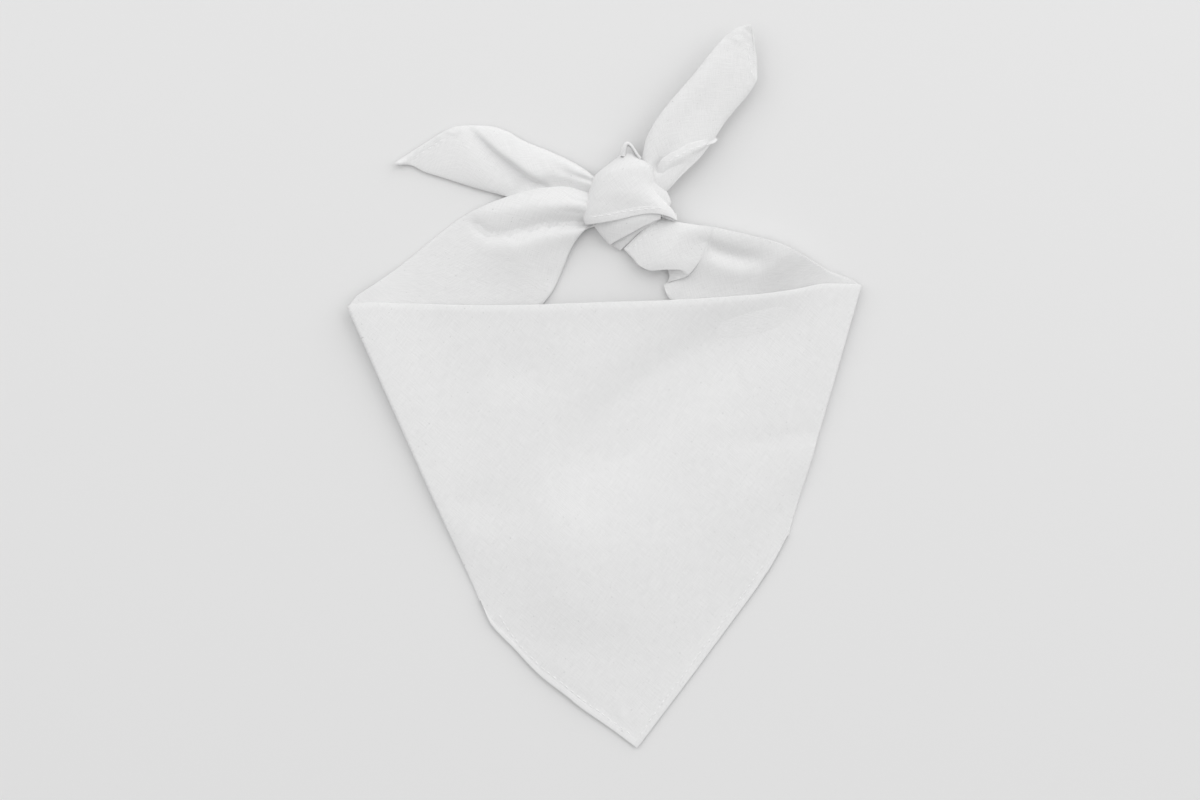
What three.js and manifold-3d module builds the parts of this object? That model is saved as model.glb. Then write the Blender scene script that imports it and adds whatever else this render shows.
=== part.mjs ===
// A hemmed cotton bandana, folded corner to corner, turned over into a band and tied behind.
// It lies flat: the pointed front at -Y, the tied ends at +Y, the floor at z = 0.
// Opened out it is a square of 559 mm. Every sheet here is the doubled cloth, two layers face to face.
import * as THREE from 'three';
import Module from 'manifold-3d';
import { mergeVertices } from 'three/addons/utils/BufferGeometryUtils.js';

// Driving dimensions in millimetres
const CLOTH = 1; // thickness of the doubled cloth
const GAP = 0.4; // air between two turns of the band
const PITCH = CLOTH + GAP; // from one turn of the band to the next
const TURNS = 4; // doubled layers in the band
const STACK = (TURNS - 0.5) * PITCH + CLOTH / 2; // height of the flat band above its fold axis
const BAND = 59; // width of the folded band
const HEM_WIDTH = 3.5; // turned and stitched edge
const HEM_RISE = 0.5; // how far the turned edge stands above the cloth
const SIDE_BULGE = 0.7; // how round the front's side folds are, 1 being a half circle
const HANG_CURVE = 0.8; // how soon the front drops below the band, 1 being halfway down

// Steps along the folded section, from the free hem inwards
const STEPS = { front: 10, outerFold: 4, lowerFold: 3, inside: 2, innerFold: 2, core: 2 };
const FRONT_STATIONS = 23; // sections across the hanging front
const FOLD_STATIONS = 3; // sections around each side fold

const COTTON = new THREE.MeshStandardMaterial({ color: 0xe9e8e6, roughness: 0.95, metalness: 0 });

const lerp = THREE.MathUtils.lerp;
const clamp = THREE.MathUtils.clamp;

/** Turns a table with named columns into one object for each row. */
function table(columns, rows) {
  const names = columns.split(' ');
  return rows.map((row) => Object.fromEntries(names.map((name, k) => [name, row[k]])));
}

/** A row of a table at a fractional row number, each column read in a straight line. */
function between(rows, at) {
  const k = Math.min(Math.floor(at), rows.length - 2);
  const part = at - k;
  return Object.fromEntries(
    Object.keys(rows[k]).map((name) => [name, lerp(rows[k][name], rows[k + 1][name], part)]),
  );
}

// The hanging front, from its left fold to its right fold. Each section runs from the band's top edge
// (topX, topY) down to the hem (hemX, hemY). The last three columns are how high the band's back stands
// at the top edge, at the band's lower edge, and how high the hem hangs.
const FRONT = table('topX topY hemX hemY backLift footLift hemLift', [
  [-128, 41.3, -62.3, -106.8, 5.4, 5.4, 1.2],
  [-117, 42.8, -57.3, -118.3, 5.4, 5.4, 1.9],
  [-100, 42.3, -45, -131.5, 5.4, 5.4, 2.8],
  [-82, 41.8, -32.3, -144.8, 5.5, 5.3, 3.2],
  [-62.3, 41.3, -21, -153.5, 5.6, 5, 2.8],
  [-42, 41.5, -11.3, -161.3, 5.5, 4.6, 2],
  [-20, 42.2, 2, -170.5, 4.8, 3.6, 0.9],
  [0, 43, 16.3, -181.2, 4.3, 3, 0],
  [20, 43.5, 28.5, -165, 4.6, 3.2, 0.5],
  [40, 44.3, 41, -148.5, 5.5, 4.6, 1],
  [60, 45.5, 52.5, -133, 5.6, 5, 1.4],
  [78, 47, 64, -117.5, 5.5, 5.3, 1.6],
  [95, 49.3, 75, -102.5, 5.4, 5.4, 1.6],
  [112, 52.3, 84.5, -88, 5.4, 5.4, 1.4],
  [127.6, 51.8, 91.8, -74.3, 5.4, 5.4, 1.2],
]);

// The left arm, from the left side fold to the knot. Each section runs from the arm's outer edge to its
// inner edge; the heights are those of the arm's upper face at the two edges and halfway.
const ARM_COLUMNS = 'outerX outerY innerX innerY outerHeight midHeight innerHeight';
const LEFT_ARM = table(ARM_COLUMNS, [
  [-128, 41.3, -103.6, -13.7, 5.4, 5.4, 5.4],
  [-124.3, 46, -99, -9, 5.4, 5.4, 5.4],
  [-117, 51, -88, 2, 5.4, 5.4, 5.4],
  [-107, 58, -74.8, 10.8, 5.4, 5.6, 5.4],
  [-94.5, 67.8, -57.3, 23.3, 5.5, 6.3, 5.4],
  [-81.8, 78.3, -42.3, 33.8, 5.8, 7.2, 5.4],
  [-71.3, 86, -31.3, 41.8, 6.4, 8.2, 5.5],
  [-62.3, 90.8, -26.3, 48.3, 7.2, 9.2, 6.4],
  [-52.3, 94.8, -22.8, 55.3, 8, 10.2, 7.4],
  [-41.3, 98.3, -19.8, 62.8, 8.6, 11.2, 8.2],
  [-31.3, 100.5, -16.8, 69.8, 9, 12.2, 9],
  [-21.3, 101, -13.3, 75.3, 9.2, 13, 9.4],
  [-10, 98.5, -8, 80, 9.4, 13.4, 9.6],
  [2, 94, 2, 82, 10, 12, 10],
]);

// The right arm, from the right side fold to the knot. It buckles at its eighth section, where the
// stretch by the knot starts to stand over the stretch by the fold.
const RIGHT_ARM = table(ARM_COLUMNS, [
  [127.6, 51.8, 111, -6.6, 5.4, 5.4, 5.4],
  [124, 54.3, 106, 3, 5.4, 5.4, 5.4],
  [112, 59, 90, 17.5, 5.4, 5.5, 5.4],
  [100.3, 65.8, 74, 25, 5.4, 6, 5.4],
  [89, 71.8, 57, 32.8, 5.6, 6, 5.4],
  [82, 74, 49, 36.5, 6.4, 7.8, 5.4],
  [66, 78, 37, 42.5, 7.6, 7.4, 5.4],
  [53, 80.6, 30.5, 48.8, 8.8, 6, 5.4],
  [50, 81, 29.5, 51.5, 9.2, 12.2, 8.8],
  [43.5, 82, 25.3, 56.3, 9.6, 13.2, 9.4],
  [36, 83.2, 19, 60, 9.6, 12.6, 8.8],
  [29, 85.5, 13.3, 65.6, 9.4, 12, 8],
  [26.8, 87, 9.6, 69.4, 9.4, 11.6, 7.8],
  [26.2, 87.6, 9, 70, 8, 9.8, 6.6],
  [18, 92, 4, 77, 8, 10, 7],
]);

// The folds in the arms' upper faces, in order from the outer edge to the inner one. Each runs from one
// numbered section of its arm to another; at is its place across the arm, 0 at the outer edge and 1 at
// the inner one, and rise is how far it stands above the smooth face, or below it.
const FOLD_COLUMNS = 'first last atFirst atLast riseFirst riseLast';
const LEFT_FOLDS = table(FOLD_COLUMNS, [
  [6, 12, 0.08, 0.22, 0.3, 1.2], // outer roll
  [10, 12, 0.3, 0.46, -0.2, -3.2], // pleat
  [7, 12, 0.2, 0.64, 0.2, 1.4], // inner roll
  [6, 12, 0.2, 0.86, -0.4, -7], // gathered trough
  [6, 12, 0.29, 0.94, 1, 0.6], // sharp ridge
  [5, 11, 0.5, 0.97, -0.6, -0.4], // shallow wave
]);
const RIGHT_FOLDS = table(FOLD_COLUMNS, [
  [3, 8, 0.08, 0.1, 0.4, 2], // outer roll
  [4, 8, 0.24, 0.26, -0.6, -2.6], // dark fold below the roll
  [5, 8, 0.42, 0.44, -0.6, -1.2], // its foot
  [3, 6, 0.56, 0.58, 0.2, 0.6], // swell beyond it
  [9, 12, 0.66, 0.68, 0.3, 0.5], // back of the buckle
  [8, 12, 0.84, 0.86, 0.4, 0.6], // curled inner edge
]);

// Where the hem of the lowest turn crosses under each arm, as an X that the hem runs along
const LEFT_UNDER_HEM = FRONT[0].hemX;
const RIGHT_UNDER_HEM = FRONT.at(-1).hemX;

/** Where each fold lies at a numbered section, and how far it rises there. */
function foldsAt(folds, section) {
  return folds.map((fold) => {
    const along = clamp((section - fold.first) / (fold.last - fold.first), 0, 1);
    const present = section >= fold.first;
    return {
      at: lerp(fold.atFirst, fold.atLast, along),
      rise: present ? lerp(fold.riseFirst, fold.riseLast, along) : 0,
    };
  });
}

/** The places across an arm where its upper face is drawn: its edges, its folds and halfways. */
function placesAcross(knots) {
  const first = knots[0].at;
  const last = knots.at(-1).at;
  return [0, first / 2, ...knots.map((knot) => knot.at), (last + 1) / 2, 1];
}

/** How far the folds lift or sink the upper face at a place across the arm. */
function riseAt(knots, across) {
  const all = [{ at: 0, rise: 0 }, ...knots, { at: 1, rise: 0 }];
  const next = Math.max(all.findIndex((knot) => knot.at >= across), 1);
  const [from, to] = [all[next - 1], all[next]];
  return lerp(from.rise, to.rise, clamp((across - from.at) / (to.at - from.at), 0, 1));
}

/** Points of an arc of a section's fold, without its first point. */
function arc(centre, level, radius, from, to, steps, run) {
  return Array.from({ length: steps }, (_, k) => {
    const angle = lerp(from, to, (k + 1) / steps);
    return {
      s: centre - radius * Math.cos(angle),
      level: level + radius * Math.sin(angle),
      normal: [-Math.cos(angle) * Math.sign(radius), Math.sin(angle) * Math.sign(radius)],
      run,
    };
  });
}

/** Points of a straight run of a section, without its first point. */
function straight(from, to, level, side, steps, run) {
  return Array.from({ length: steps }, (_, k) => ({
    s: lerp(from, to, (k + 1) / steps),
    level,
    normal: [0, side],
    run,
  }));
}

/**
 * The band's section, as the middle line of the doubled cloth: down the front, round the top edge, down
 * the back, round the lower edge, up inside, round again and down to the corner fold at the core. s is
 * the distance from the top edge; level is the height above the plane in which the band folds back.
 * across are the places where the back, which is an arm's upper face, has its points.
 */
function bandSection(width, frontLength, across) {
  const outer = 1.5 * PITCH;
  const topCentre = outer + CLOTH / 2;
  const lowCentre = width - PITCH - CLOTH / 2;
  const quarter = Math.PI / 2;
  const free = Math.max(frontLength, topCentre + 1.5);
  const hem = Math.min(HEM_WIDTH, (free - topCentre) / 3);
  const frontStart = { s: free, level: 3.5 * PITCH, normal: [0, 1], run: 'hem' };
  const hemEnd = { ...frontStart, s: free - hem };
  const hemFoot = { ...frontStart, s: free - hem * 1.25, run: 'front' };
  return [
    frontStart,
    hemEnd,
    hemFoot,
    ...straight(hemFoot.s, topCentre, 3.5 * PITCH, 1, STEPS.front - 2, 'front'),
    ...arc(topCentre, 2 * PITCH, outer, quarter, -quarter, STEPS.outerFold, 'outerFold'),
    ...across.slice(1).map((part) => ({
      s: lerp(topCentre, lowCentre, part),
      level: 0.5 * PITCH,
      normal: [0, -1],
      run: 'back',
    })),
    ...arc(lowCentre, 1.5 * PITCH, -PITCH, quarter, -quarter, STEPS.lowerFold, 'lowerFold'),
    ...straight(lowCentre, topCentre, 2.5 * PITCH, 1, STEPS.inside, 'inside'),
    ...arc(topCentre, 2 * PITCH, 0.5 * PITCH, quarter, -quarter, STEPS.innerFold, 'innerFold'),
    ...straight(topCentre, lowCentre - 3, 1.5 * PITCH, -1, STEPS.core, 'core'),
  ];
}

/** One section point as the two faces of the cloth, each {s, level}. */
function faces(point, hemRise) {
  const [ns, nl] = point.normal;
  const outward = CLOTH / 2 + (point.run === 'hem' ? hemRise : 0);
  return {
    over: { s: point.s + ns * outward, level: point.level + nl * outward },
    under: { s: point.s - (ns * CLOTH) / 2, level: point.level - (nl * CLOTH) / 2 },
  };
}

const smooth = (value) => THREE.MathUtils.smoothstep(value, 0, 1);

const EVENLY_ACROSS = placesAcross(LEFT_FOLDS.map((_, k) => ({ at: (k + 1.5) / (LEFT_FOLDS.length + 2) })));

/** A section of the hanging front with its band behind it. */
function frontRow(row, hemRise) {
  const run = new THREE.Vector2(row.hemX - row.topX, row.hemY - row.topY);
  const length = run.length();
  const way = run.divideScalar(length);
  const width = BAND / Math.abs(way.y);
  const place = (point, face) => {
    const u = face.s / width;
    const band = lerp(row.backLift, row.footLift, clamp(u, 0, 1)) + face.level;
    const hang = smooth((point.s - width) / (length - width));
    const onFront = point.run === 'front' || point.run === 'hem';
    const low = row.hemLift + face.level - 3 * PITCH;
    const z = onFront ? lerp(band, low, hang ** HANG_CURVE) : band;
    return new THREE.Vector3(row.topX + way.x * face.s, row.topY + way.y * face.s, z);
  };
  return bandSection(width, length, EVENLY_ACROSS).map((point) => {
    const face = faces(point, hemRise);
    return { over: place(point, face.over), under: place(point, face.under) };
  });
}

/** How much of an arm's extra height each point of its section takes. */
function freedom(point) {
  if (point.run === 'back') return 1;
  if (point.run === 'outerFold') return (3.5 * PITCH - point.level) / (3 * PITCH);
  if (point.run === 'lowerFold') return (2.5 * PITCH - point.level) / (2 * PITCH);
  return 0;
}

/** A numbered section of an arm. underHem is the X along which the lowest turn's hem runs below it. */
function armRow(row, section, folds, underHem) {
  const run = new THREE.Vector2(row.innerX - row.outerX, row.innerY - row.outerY);
  const width = run.length();
  const way = run.divideScalar(width);
  const toHem = (underHem - row.outerX) / way.x;
  const knots = foldsAt(folds, section);
  const upper = (s) => {
    const across = clamp(s / width, 0, 1);
    const edge = lerp(row.outerHeight, row.innerHeight, across);
    const crown = row.midHeight - (row.outerHeight + row.innerHeight) / 2;
    return Math.max(edge + crown * 4 * across * (1 - across) + riseAt(knots, across), STACK);
  };
  const place = (point, face) => {
    const x = row.outerX + way.x * face.s;
    const y = row.outerY + way.y * face.s;
    const extra = (upper(point.s) - STACK) * freedom(point);
    return new THREE.Vector3(x, y, STACK - face.level + extra);
  };
  return bandSection(width, toHem, placesAcross(knots)).map((point) => {
    const face = faces(point, 0);
    return { over: place(point, face.over), under: place(point, face.under) };
  });
}

/** A section part of the way round a side fold, between the front's section and the arm's. */
function foldRow(front, arm, outward, turn) {
  const part = turn / Math.PI;
  const place = (a, b) => {
    const radius = (a.z - b.z) / 2;
    const out = radius * SIDE_BULGE * Math.sin(turn);
    return new THREE.Vector3(
      lerp(a.x, b.x, part) + outward.x * out,
      lerp(a.y, b.y, part) + outward.y * out,
      (a.z + b.z) / 2 + radius * Math.cos(turn),
    );
  };
  return front.map((point, k) => ({
    over: place(point.over, arm[k].over),
    under: place(point.under, arm[k].under),
  }));
}

/** The closed solid of a sheet, from rows of points that each have an upper and a lower face. */
function sheetSolid(rows) {
  const count = rows[0].length;
  const all = [...rows.flat().map((point) => point.over), ...rows.flat().map((point) => point.under)];
  const half = rows.length * count;
  const index = [];
  const quad = (a, b, c, d) => index.push(a, b, c, a, c, d);
  for (let i = 0; i < rows.length - 1; i += 1) {
    for (let j = 0; j < count - 1; j += 1) {
      const a = i * count + j;
      const b = a + count;
      quad(a, b, b + 1, a + 1);
      quad(half + a, half + a + 1, half + b + 1, half + b);
    }
    const start = i * count;
    const end = start + count - 1;
    quad(start, half + start, half + start + count, start + count);
    quad(end, end + count, half + end + count, half + end);
  }
  const last = (rows.length - 1) * count;
  for (let j = 0; j < count - 1; j += 1) {
    quad(j, j + 1, half + j + 1, half + j);
    quad(last + j, half + last + j, half + last + j + 1, last + j + 1);
  }
  const geometry = new THREE.BufferGeometry();
  geometry.setAttribute('position', new THREE.Float32BufferAttribute(all.flatMap((p) => p.toArray()), 3));
  geometry.setIndex(index);
  return geometry;
}


/** The band with the hanging front and both arms, as one doubled cloth from knot to knot. */
function band() {
  const last = FRONT.length - 1;
  const front = Array.from({ length: FRONT_STATIONS }, (_, k) => {
    const atEdge = k === 0 || k === FRONT_STATIONS - 1;
    return frontRow(between(FRONT, (k * last) / (FRONT_STATIONS - 1)), atEdge ? 0 : HEM_RISE);
  });
  const left = LEFT_ARM.map((row, k) => armRow(row, k, LEFT_FOLDS, LEFT_UNDER_HEM));
  const right = RIGHT_ARM.map((row, k) => armRow(row, k, RIGHT_FOLDS, RIGHT_UNDER_HEM));
  const turns = Array.from({ length: FOLD_STATIONS }, (_, k) => (Math.PI * (k + 1)) / (FOLD_STATIONS + 1));
  const outward = (row, side) => new THREE.Vector2(row.hemY - row.topY, row.topX - row.hemX).setLength(side);
  const leftFold = turns.map((turn) => foldRow(front[0], left[0], outward(FRONT[0], 1), turn));
  const rightFold = turns.map((turn) => foldRow(front.at(-1), right[0], outward(FRONT[last], -1), turn));
  return sheetSolid([...left.toReversed(), ...leftFold.toReversed(), ...front, ...rightFold, ...right]);
}

// The knot. Each mound is a row for each section: its left and right ends with their heights, the height
// of its crown, and how far the middle of the section bows towards +Y.
const MOUND_COLUMNS = 'leftX leftY leftZ rightX rightY rightZ crown bow';
const MOUND_STEPS = 8;

// The upper wrap over the crossing, from the small loop at its top to its hemmed lower edge
const UPPER_WRAP = table(MOUND_COLUMNS, [
  [9.8, 121.3, 8, 13, 121.6, 8, 12.5, 0.3],
  [8.3, 118.3, 7.5, 16, 118.2, 7.5, 14.5, 0.3],
  [7, 115.3, 7, 18.4, 114.6, 7.5, 16, 0],
  [1.8, 111.2, 6, 23.3, 111.2, 8, 18, 0],
  [-4.3, 106, 5, 26.7, 106.5, 8, 20, 0],
  [-7.3, 100, 4.5, 26, 101, 8, 22, 0],
  [-8.9, 94, 4.5, 29.5, 94.3, 8, 22.8, 0],
  [-9.8, 88, 5, 34.6, 88.2, 8, 22, 1.2],
  [-9.9, 84, 6.5, 36, 85, 9, 20.6, 3],
  [-9.8, 81.8, 7.5, 36.3, 83.3, 9.5, 19.6, 4],
]);
const WRAP_THICKNESS = 1.8;
const WRAP_OVERHANG_ROWS = 1; // sections of the wrap that stand free of the knot's core at the hem
const CORE_INSET = 1.2; // how far the core lies inside the wrap

// The second wrap, whose lower corner shows below the first, and the narrow third one beside it
const SECOND_WRAP = table(MOUND_COLUMNS, [
  [-5.8, 81.3, 4, 2.3, 71.8, 4, 7.5, 0],
  [-4.8, 82.3, 7, 4.3, 72.8, 7, 10.5, 0],
  [-2, 85, 9, 11, 77, 10, 13.5, 0],
  [4, 90, 10, 27, 85.5, 11, 15.5, 0],
]);
const THIRD_WRAP = table(MOUND_COLUMNS, [
  [4.2, 73.2, 3, 8.8, 69.3, 3, 6, 0],
  [7, 75.5, 5, 11, 71, 5, 8.6, 0],
  [18, 82, 8, 22, 79, 8, 11, 0],
  [24, 86, 9, 27, 84, 9, 12, 0],
]);
// The fold that shows beside the upper wrap, on the right
const SIDE_FOLD = table(MOUND_COLUMNS, [
  [22, 104, 6, 19, 98, 6, 13, 0],
  [28.5, 101.3, 6, 24, 94, 6, 14.5, 0],
  [32.3, 97, 6, 28, 91, 6, 13.5, 0],
  [33.6, 93.6, 6, 30, 89.6, 6, 10, 0],
]);

/** A mound's section from its left end to its right end; inset draws it in on all sides. */
function moundRow(row, inset, underside) {
  const width = Math.hypot(row.rightX - row.leftX, row.rightY - row.leftY);
  const trim = Math.min(inset / width, 0.4);
  return Array.from({ length: MOUND_STEPS + 1 }, (_, k) => {
    const u = (1 - Math.cos((Math.PI * k) / MOUND_STEPS)) / 2;
    const across = lerp(trim, 1 - trim, u);
    const rise = 1 - Math.abs(2 * u - 1) ** 2.6;
    const x = lerp(row.leftX, row.rightX, across);
    const y = lerp(row.leftY, row.rightY, across) + row.bow * rise;
    const z = lerp(lerp(row.leftZ, row.rightZ, u), row.crown, rise) - inset;
    return { over: new THREE.Vector3(x, y, z), under: new THREE.Vector3(x, y, underside(z)) };
  });
}

const mound = (rows, base) => sheetSolid(rows.map((row) => moundRow(row, 0, () => base)));

function upperWrap() {
  return sheetSolid(UPPER_WRAP.map((row) => moundRow(row, 0, (z) => z - WRAP_THICKNESS)));
}

function knotCore() {
  const rows = UPPER_WRAP.slice(1, UPPER_WRAP.length - WRAP_OVERHANG_ROWS);
  return sheetSolid(rows.map((row) => moundRow(row, CORE_INSET, () => 0)));
}

// The tied ends. Each section runs from the end's folded edge to its open edge; cover is how much of the
// section the turned-over layer covers, lift how high the folded edge stands above the floor, tilt how
// much higher the open edge stands, and puff how far the turned layer stands off.
const END_COLUMNS = 'foldX foldY openX openY cover lift tilt puff';
const END_STEPS = { under: 3, fold: 3, over: 5 };

// The left end, low beside the left arm
const LEFT_END = table(END_COLUMNS, [
  [-105, 113.9, -104.6, 112.6, 0.3, 0, 0, 0],
  [-98, 116.8, -98.3, 112.2, 0.2, 0, 0, 0],
  [-90.8, 122.3, -90.8, 108.8, 0.15, 0.2, 0, 0.3],
  [-81.8, 128.3, -79, 104.8, 0.12, 0.5, 0, 0.5],
  [-73, 131.4, -67, 101.3, 0.14, 1, 0, 0.8],
  [-65, 132.1, -59, 99, 0.2, 1.6, 0, 1.4],
  [-56, 131.7, -51, 96.8, 0.36, 2.2, 0.2, 2],
  [-46.3, 127.3, -43, 98.8, 0.58, 2.6, 0.4, 2.4],
  [-35.8, 122.3, -34, 101.2, 0.8, 2.8, 0.6, 2.4],
  [-24.3, 117.8, -24, 102.4, 0.96, 3, 1, 2.6],
  [-13, 111.9, -13.5, 100, 0.96, 3.4, 1.5, 3],
  [-4.5, 105, -5, 95, 0.96, 4, 2, 3],
  [4, 103, 4, 95, 0.96, 4, 2, 3],
]);

// The right end, standing clear of the floor as it comes out of the knot
const RIGHT_END = table(END_COLUMNS, [
  [15, 106, 27, 95, 0.9, 7, 1, 3],
  [18.8, 115.8, 31.8, 98.3, 0.5, 8, 1, 4],
  [21.3, 123.8, 38.8, 105.3, 0.5, 9, 1, 4],
  [25.3, 130.3, 45.3, 112.3, 0.6, 9.6, 1, 3.6],
  [31.3, 139.8, 52, 120, 0.8, 10.4, 1, 3.2],
  [36, 146, 56.8, 127.3, 0.97, 11, 1.2, 3],
  [43, 155, 63, 135, 0.97, 12, 1.2, 2.8],
  [50.3, 164.3, 69.5, 143, 0.97, 13, 1.4, 2.4],
  [57.8, 172.8, 75.3, 150.6, 0.97, 14, 1.4, 1.8],
  [63.8, 178.3, 76.3, 158, 0.97, 14.6, 1.2, 1.2],
  [68.8, 181.2, 75.4, 169, 0.97, 15, 1, 0.8],
  [71.5, 181.2, 73.6, 179.6, 0.97, 15, 0.6, 0],
]);

/** A section of a tied end: the under layer, the fold and the layer turned over it. */
function endRow(row) {
  const run = new THREE.Vector2(row.openX - row.foldX, row.openY - row.foldY);
  const width = run.length();
  const way = run.divideScalar(width);
  const quarter = Math.PI / 2;
  const centre = Math.min(PITCH / 2 + CLOTH / 2, width * 0.3);
  const cover = Math.max(row.cover * width, centre + 0.3);
  const section = [
    { s: width, level: 0, normal: [0, -1], run: 'under' },
    ...straight(width, centre, 0, -1, END_STEPS.under, 'under'),
    ...arc(centre, PITCH / 2, PITCH / 2, -quarter, quarter, END_STEPS.fold, 'fold'),
    ...straight(centre, cover, PITCH, 1, END_STEPS.over, 'over'),
  ];
  const place = (point, face) => {
    const bulge = point.run === 'over' ? Math.sin((Math.PI * (point.s - centre)) / (cover - centre)) : 0;
    const z = row.lift + (row.tilt * face.s) / width + CLOTH / 2 + face.level + row.puff * bulge;
    return new THREE.Vector3(row.foldX + way.x * face.s, row.foldY + way.y * face.s, z);
  };
  return section.map((point) => {
    const face = faces(point, 0);
    return { over: place(point, face.over), under: place(point, face.under) };
  });
}

/** A soft lump or hollow: a ball drawn out to three radii, turned in the plan. */
function lump(x, y, z, radii, turn) {
  const ball = new THREE.SphereGeometry(1, 12, 8).scale(...radii).rotateZ(turn);
  return ball.translate(x, y, z);
}

const wasm = await Module();
wasm.setup();

/** Six times the volume inside a closed mesh, below 0 where its faces point inwards. */
function signedVolume(geometry) {
  const { position } = geometry.attributes;
  const corners = [new THREE.Vector3(), new THREE.Vector3(), new THREE.Vector3()];
  let sum = 0;
  for (let k = 0; k < geometry.index.count; k += 3) {
    corners.forEach((corner, n) => corner.fromBufferAttribute(position, geometry.index.getX(k + n)));
    sum += corners[0].dot(corners[1].cross(corners[2]));
  }
  return sum;
}

function solid(geometry) {
  geometry.deleteAttribute('normal');
  geometry.deleteAttribute('uv');
  const merged = mergeVertices(geometry, 1e-4);
  if (signedVolume(merged) < 0) merged.index.array.reverse();
  const mesh = new wasm.Mesh({
    numProp: 3,
    vertProperties: merged.attributes.position.array,
    triVerts: new Uint32Array(merged.index.array),
  });
  return new wasm.Manifold(mesh);
}

/** The outer skin of the largest piece: a hollow that no way leads into is filled. */
function outerBody(shape) {
  return shape.decompose().sort((a, b) => b.volume() - a.volume())[0];
}

function toGeometry(shape) {
  const mesh = shape.getMesh();
  const geometry = new THREE.BufferGeometry();
  geometry.setAttribute('position', new THREE.BufferAttribute(new Float32Array(mesh.vertProperties), 3));
  geometry.setIndex(new THREE.BufferAttribute(new Uint32Array(mesh.triVerts), 1));
  geometry.computeVertexNormals();
  return geometry;
}

const tipKnob = lump(-100.6, 112.6, 1.6, [3.4, 1.6, 1.6], 0); // the thick hem corner at the left end's tip
const loopHole = lump(13.7, 118.4, 16, [3.2, 1, 7], -0.84); // the opening of the small loop
const buckleHollow = lump(28.5, 57.6, 7, [12, 3.6, 6.5], -0.1); // the hollow under the right arm's buckle

const pieces = [
  band(),
  knotCore(),
  upperWrap(),
  mound(SECOND_WRAP, 1),
  mound(THIRD_WRAP, 1),
  mound(SIDE_FOLD, 3),
  sheetSolid(LEFT_END.map(endRow)),
  sheetSolid(RIGHT_END.map(endRow)),
  tipKnob,
].map(solid);
const joined = pieces.reduce((whole, piece) => whole.add(piece));
const cloth = outerBody(joined.subtract(solid(loopHole)).subtract(solid(buckleHollow)));

const bandana = new THREE.Mesh(toGeometry(cloth), COTTON);
bandana.name = 'bandana';

// The origin is on the floor, under the middle of the whole
bandana.geometry.computeBoundingBox();
const middle = bandana.geometry.boundingBox.getCenter(new THREE.Vector3());
bandana.position.set(-middle.x, -middle.y, 0);

const part = new THREE.Group();
part.add(bandana);

export default part;
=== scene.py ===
"""A cotton bandana, folded corner to corner, turned over into a band and tied behind."""

import bisect
import math
import random

import bpy
from mathutils import Euler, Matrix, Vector
from mathutils.bvhtree import BVHTree


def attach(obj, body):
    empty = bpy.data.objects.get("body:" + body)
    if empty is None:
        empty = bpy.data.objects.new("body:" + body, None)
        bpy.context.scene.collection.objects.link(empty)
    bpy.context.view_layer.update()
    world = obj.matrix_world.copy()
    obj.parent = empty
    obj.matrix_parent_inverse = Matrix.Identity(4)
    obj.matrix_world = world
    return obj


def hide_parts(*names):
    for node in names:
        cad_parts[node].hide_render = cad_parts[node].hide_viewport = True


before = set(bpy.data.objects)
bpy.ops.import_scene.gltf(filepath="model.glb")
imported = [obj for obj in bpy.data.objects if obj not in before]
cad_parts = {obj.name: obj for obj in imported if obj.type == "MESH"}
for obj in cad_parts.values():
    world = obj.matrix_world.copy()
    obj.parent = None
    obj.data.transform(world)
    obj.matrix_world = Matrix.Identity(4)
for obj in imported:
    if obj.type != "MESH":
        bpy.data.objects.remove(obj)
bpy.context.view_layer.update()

bl_info = {
    "name": "Folded and tied bandana",
    "version": (1, 0, 0),
    "blender": (4, 5, 0),
    "location": "3D View > Sidebar > Bandana",
    "description": "Makes a hemmed cotton bandana, folded into a band and tied, with its stitching",
    "category": "Add Mesh",
}

MM = 0.001
MIDDLE = (0.067, -0.075)  # from the tables' own zero to the part's origin, in millimetres


# Curves and tables


def table(columns, rows):
    """One dictionary for each row, from a table with named columns."""
    names = columns.split()
    return [dict(zip(names, row)) for row in rows]


class Curve:
    """A smooth curve through points in rising order, that never swings past them."""

    def __init__(self, places, values, corners=()):
        self.places = places
        self.values = values
        steps = [
            (values[k + 1] - values[k]) / (places[k + 1] - places[k]) for k in range(len(places) - 1)
        ]
        self.arriving = []
        self.leaving = []
        for k in range(len(places)):
            before = steps[max(k - 1, 0)]
            after = steps[min(k, len(steps) - 1)]
            even = 2 * before * after / (before + after) if before * after > 0 else 0
            if k == 0 or k == len(places) - 1:
                even = before if k else after
            self.arriving.append(before if k in corners else even)
            self.leaving.append(after if k in corners else even)

    def __call__(self, place):
        place = min(max(place, self.places[0]), self.places[-1])
        k = min(bisect.bisect_right(self.places, place), len(self.places) - 1) - 1
        length = self.places[k + 1] - self.places[k]
        t = (place - self.places[k]) / length
        return (
            self.values[k] * (1 + 2 * t) * (1 - t) ** 2
            + self.leaving[k] * length * t * (1 - t) ** 2
            + self.values[k + 1] * t * t * (3 - 2 * t)
            + self.arriving[k + 1] * length * t * t * (t - 1)
        )


class Track:
    """A table read at any fractional row number, each column as a smooth curve."""

    def __init__(self, rows, corners=None):
        places = list(range(len(rows)))
        corners = corners or {}
        self.last = len(rows) - 1
        self.curves = {
            name: Curve(places, [row[name] for row in rows], corners.get(name, ())) for name in rows[0]
        }

    def __call__(self, row):
        return {name: curve(row) for name, curve in self.curves.items()}


def lerp(a, b, t):
    return a + (b - a) * t


def clamp(value, low=0.0, high=1.0):
    return min(max(value, low), high)


def smooth(t):
    t = clamp(t)
    return t * t * (3 - 2 * t)


def lengths(points):
    """How far along a line each of its points lies, seen from above."""
    out = [0.0]
    for a, b in zip(points, points[1:]):
        out.append(out[-1] + math.hypot(b[0] - a[0], b[1] - a[1]))
    return out


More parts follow.
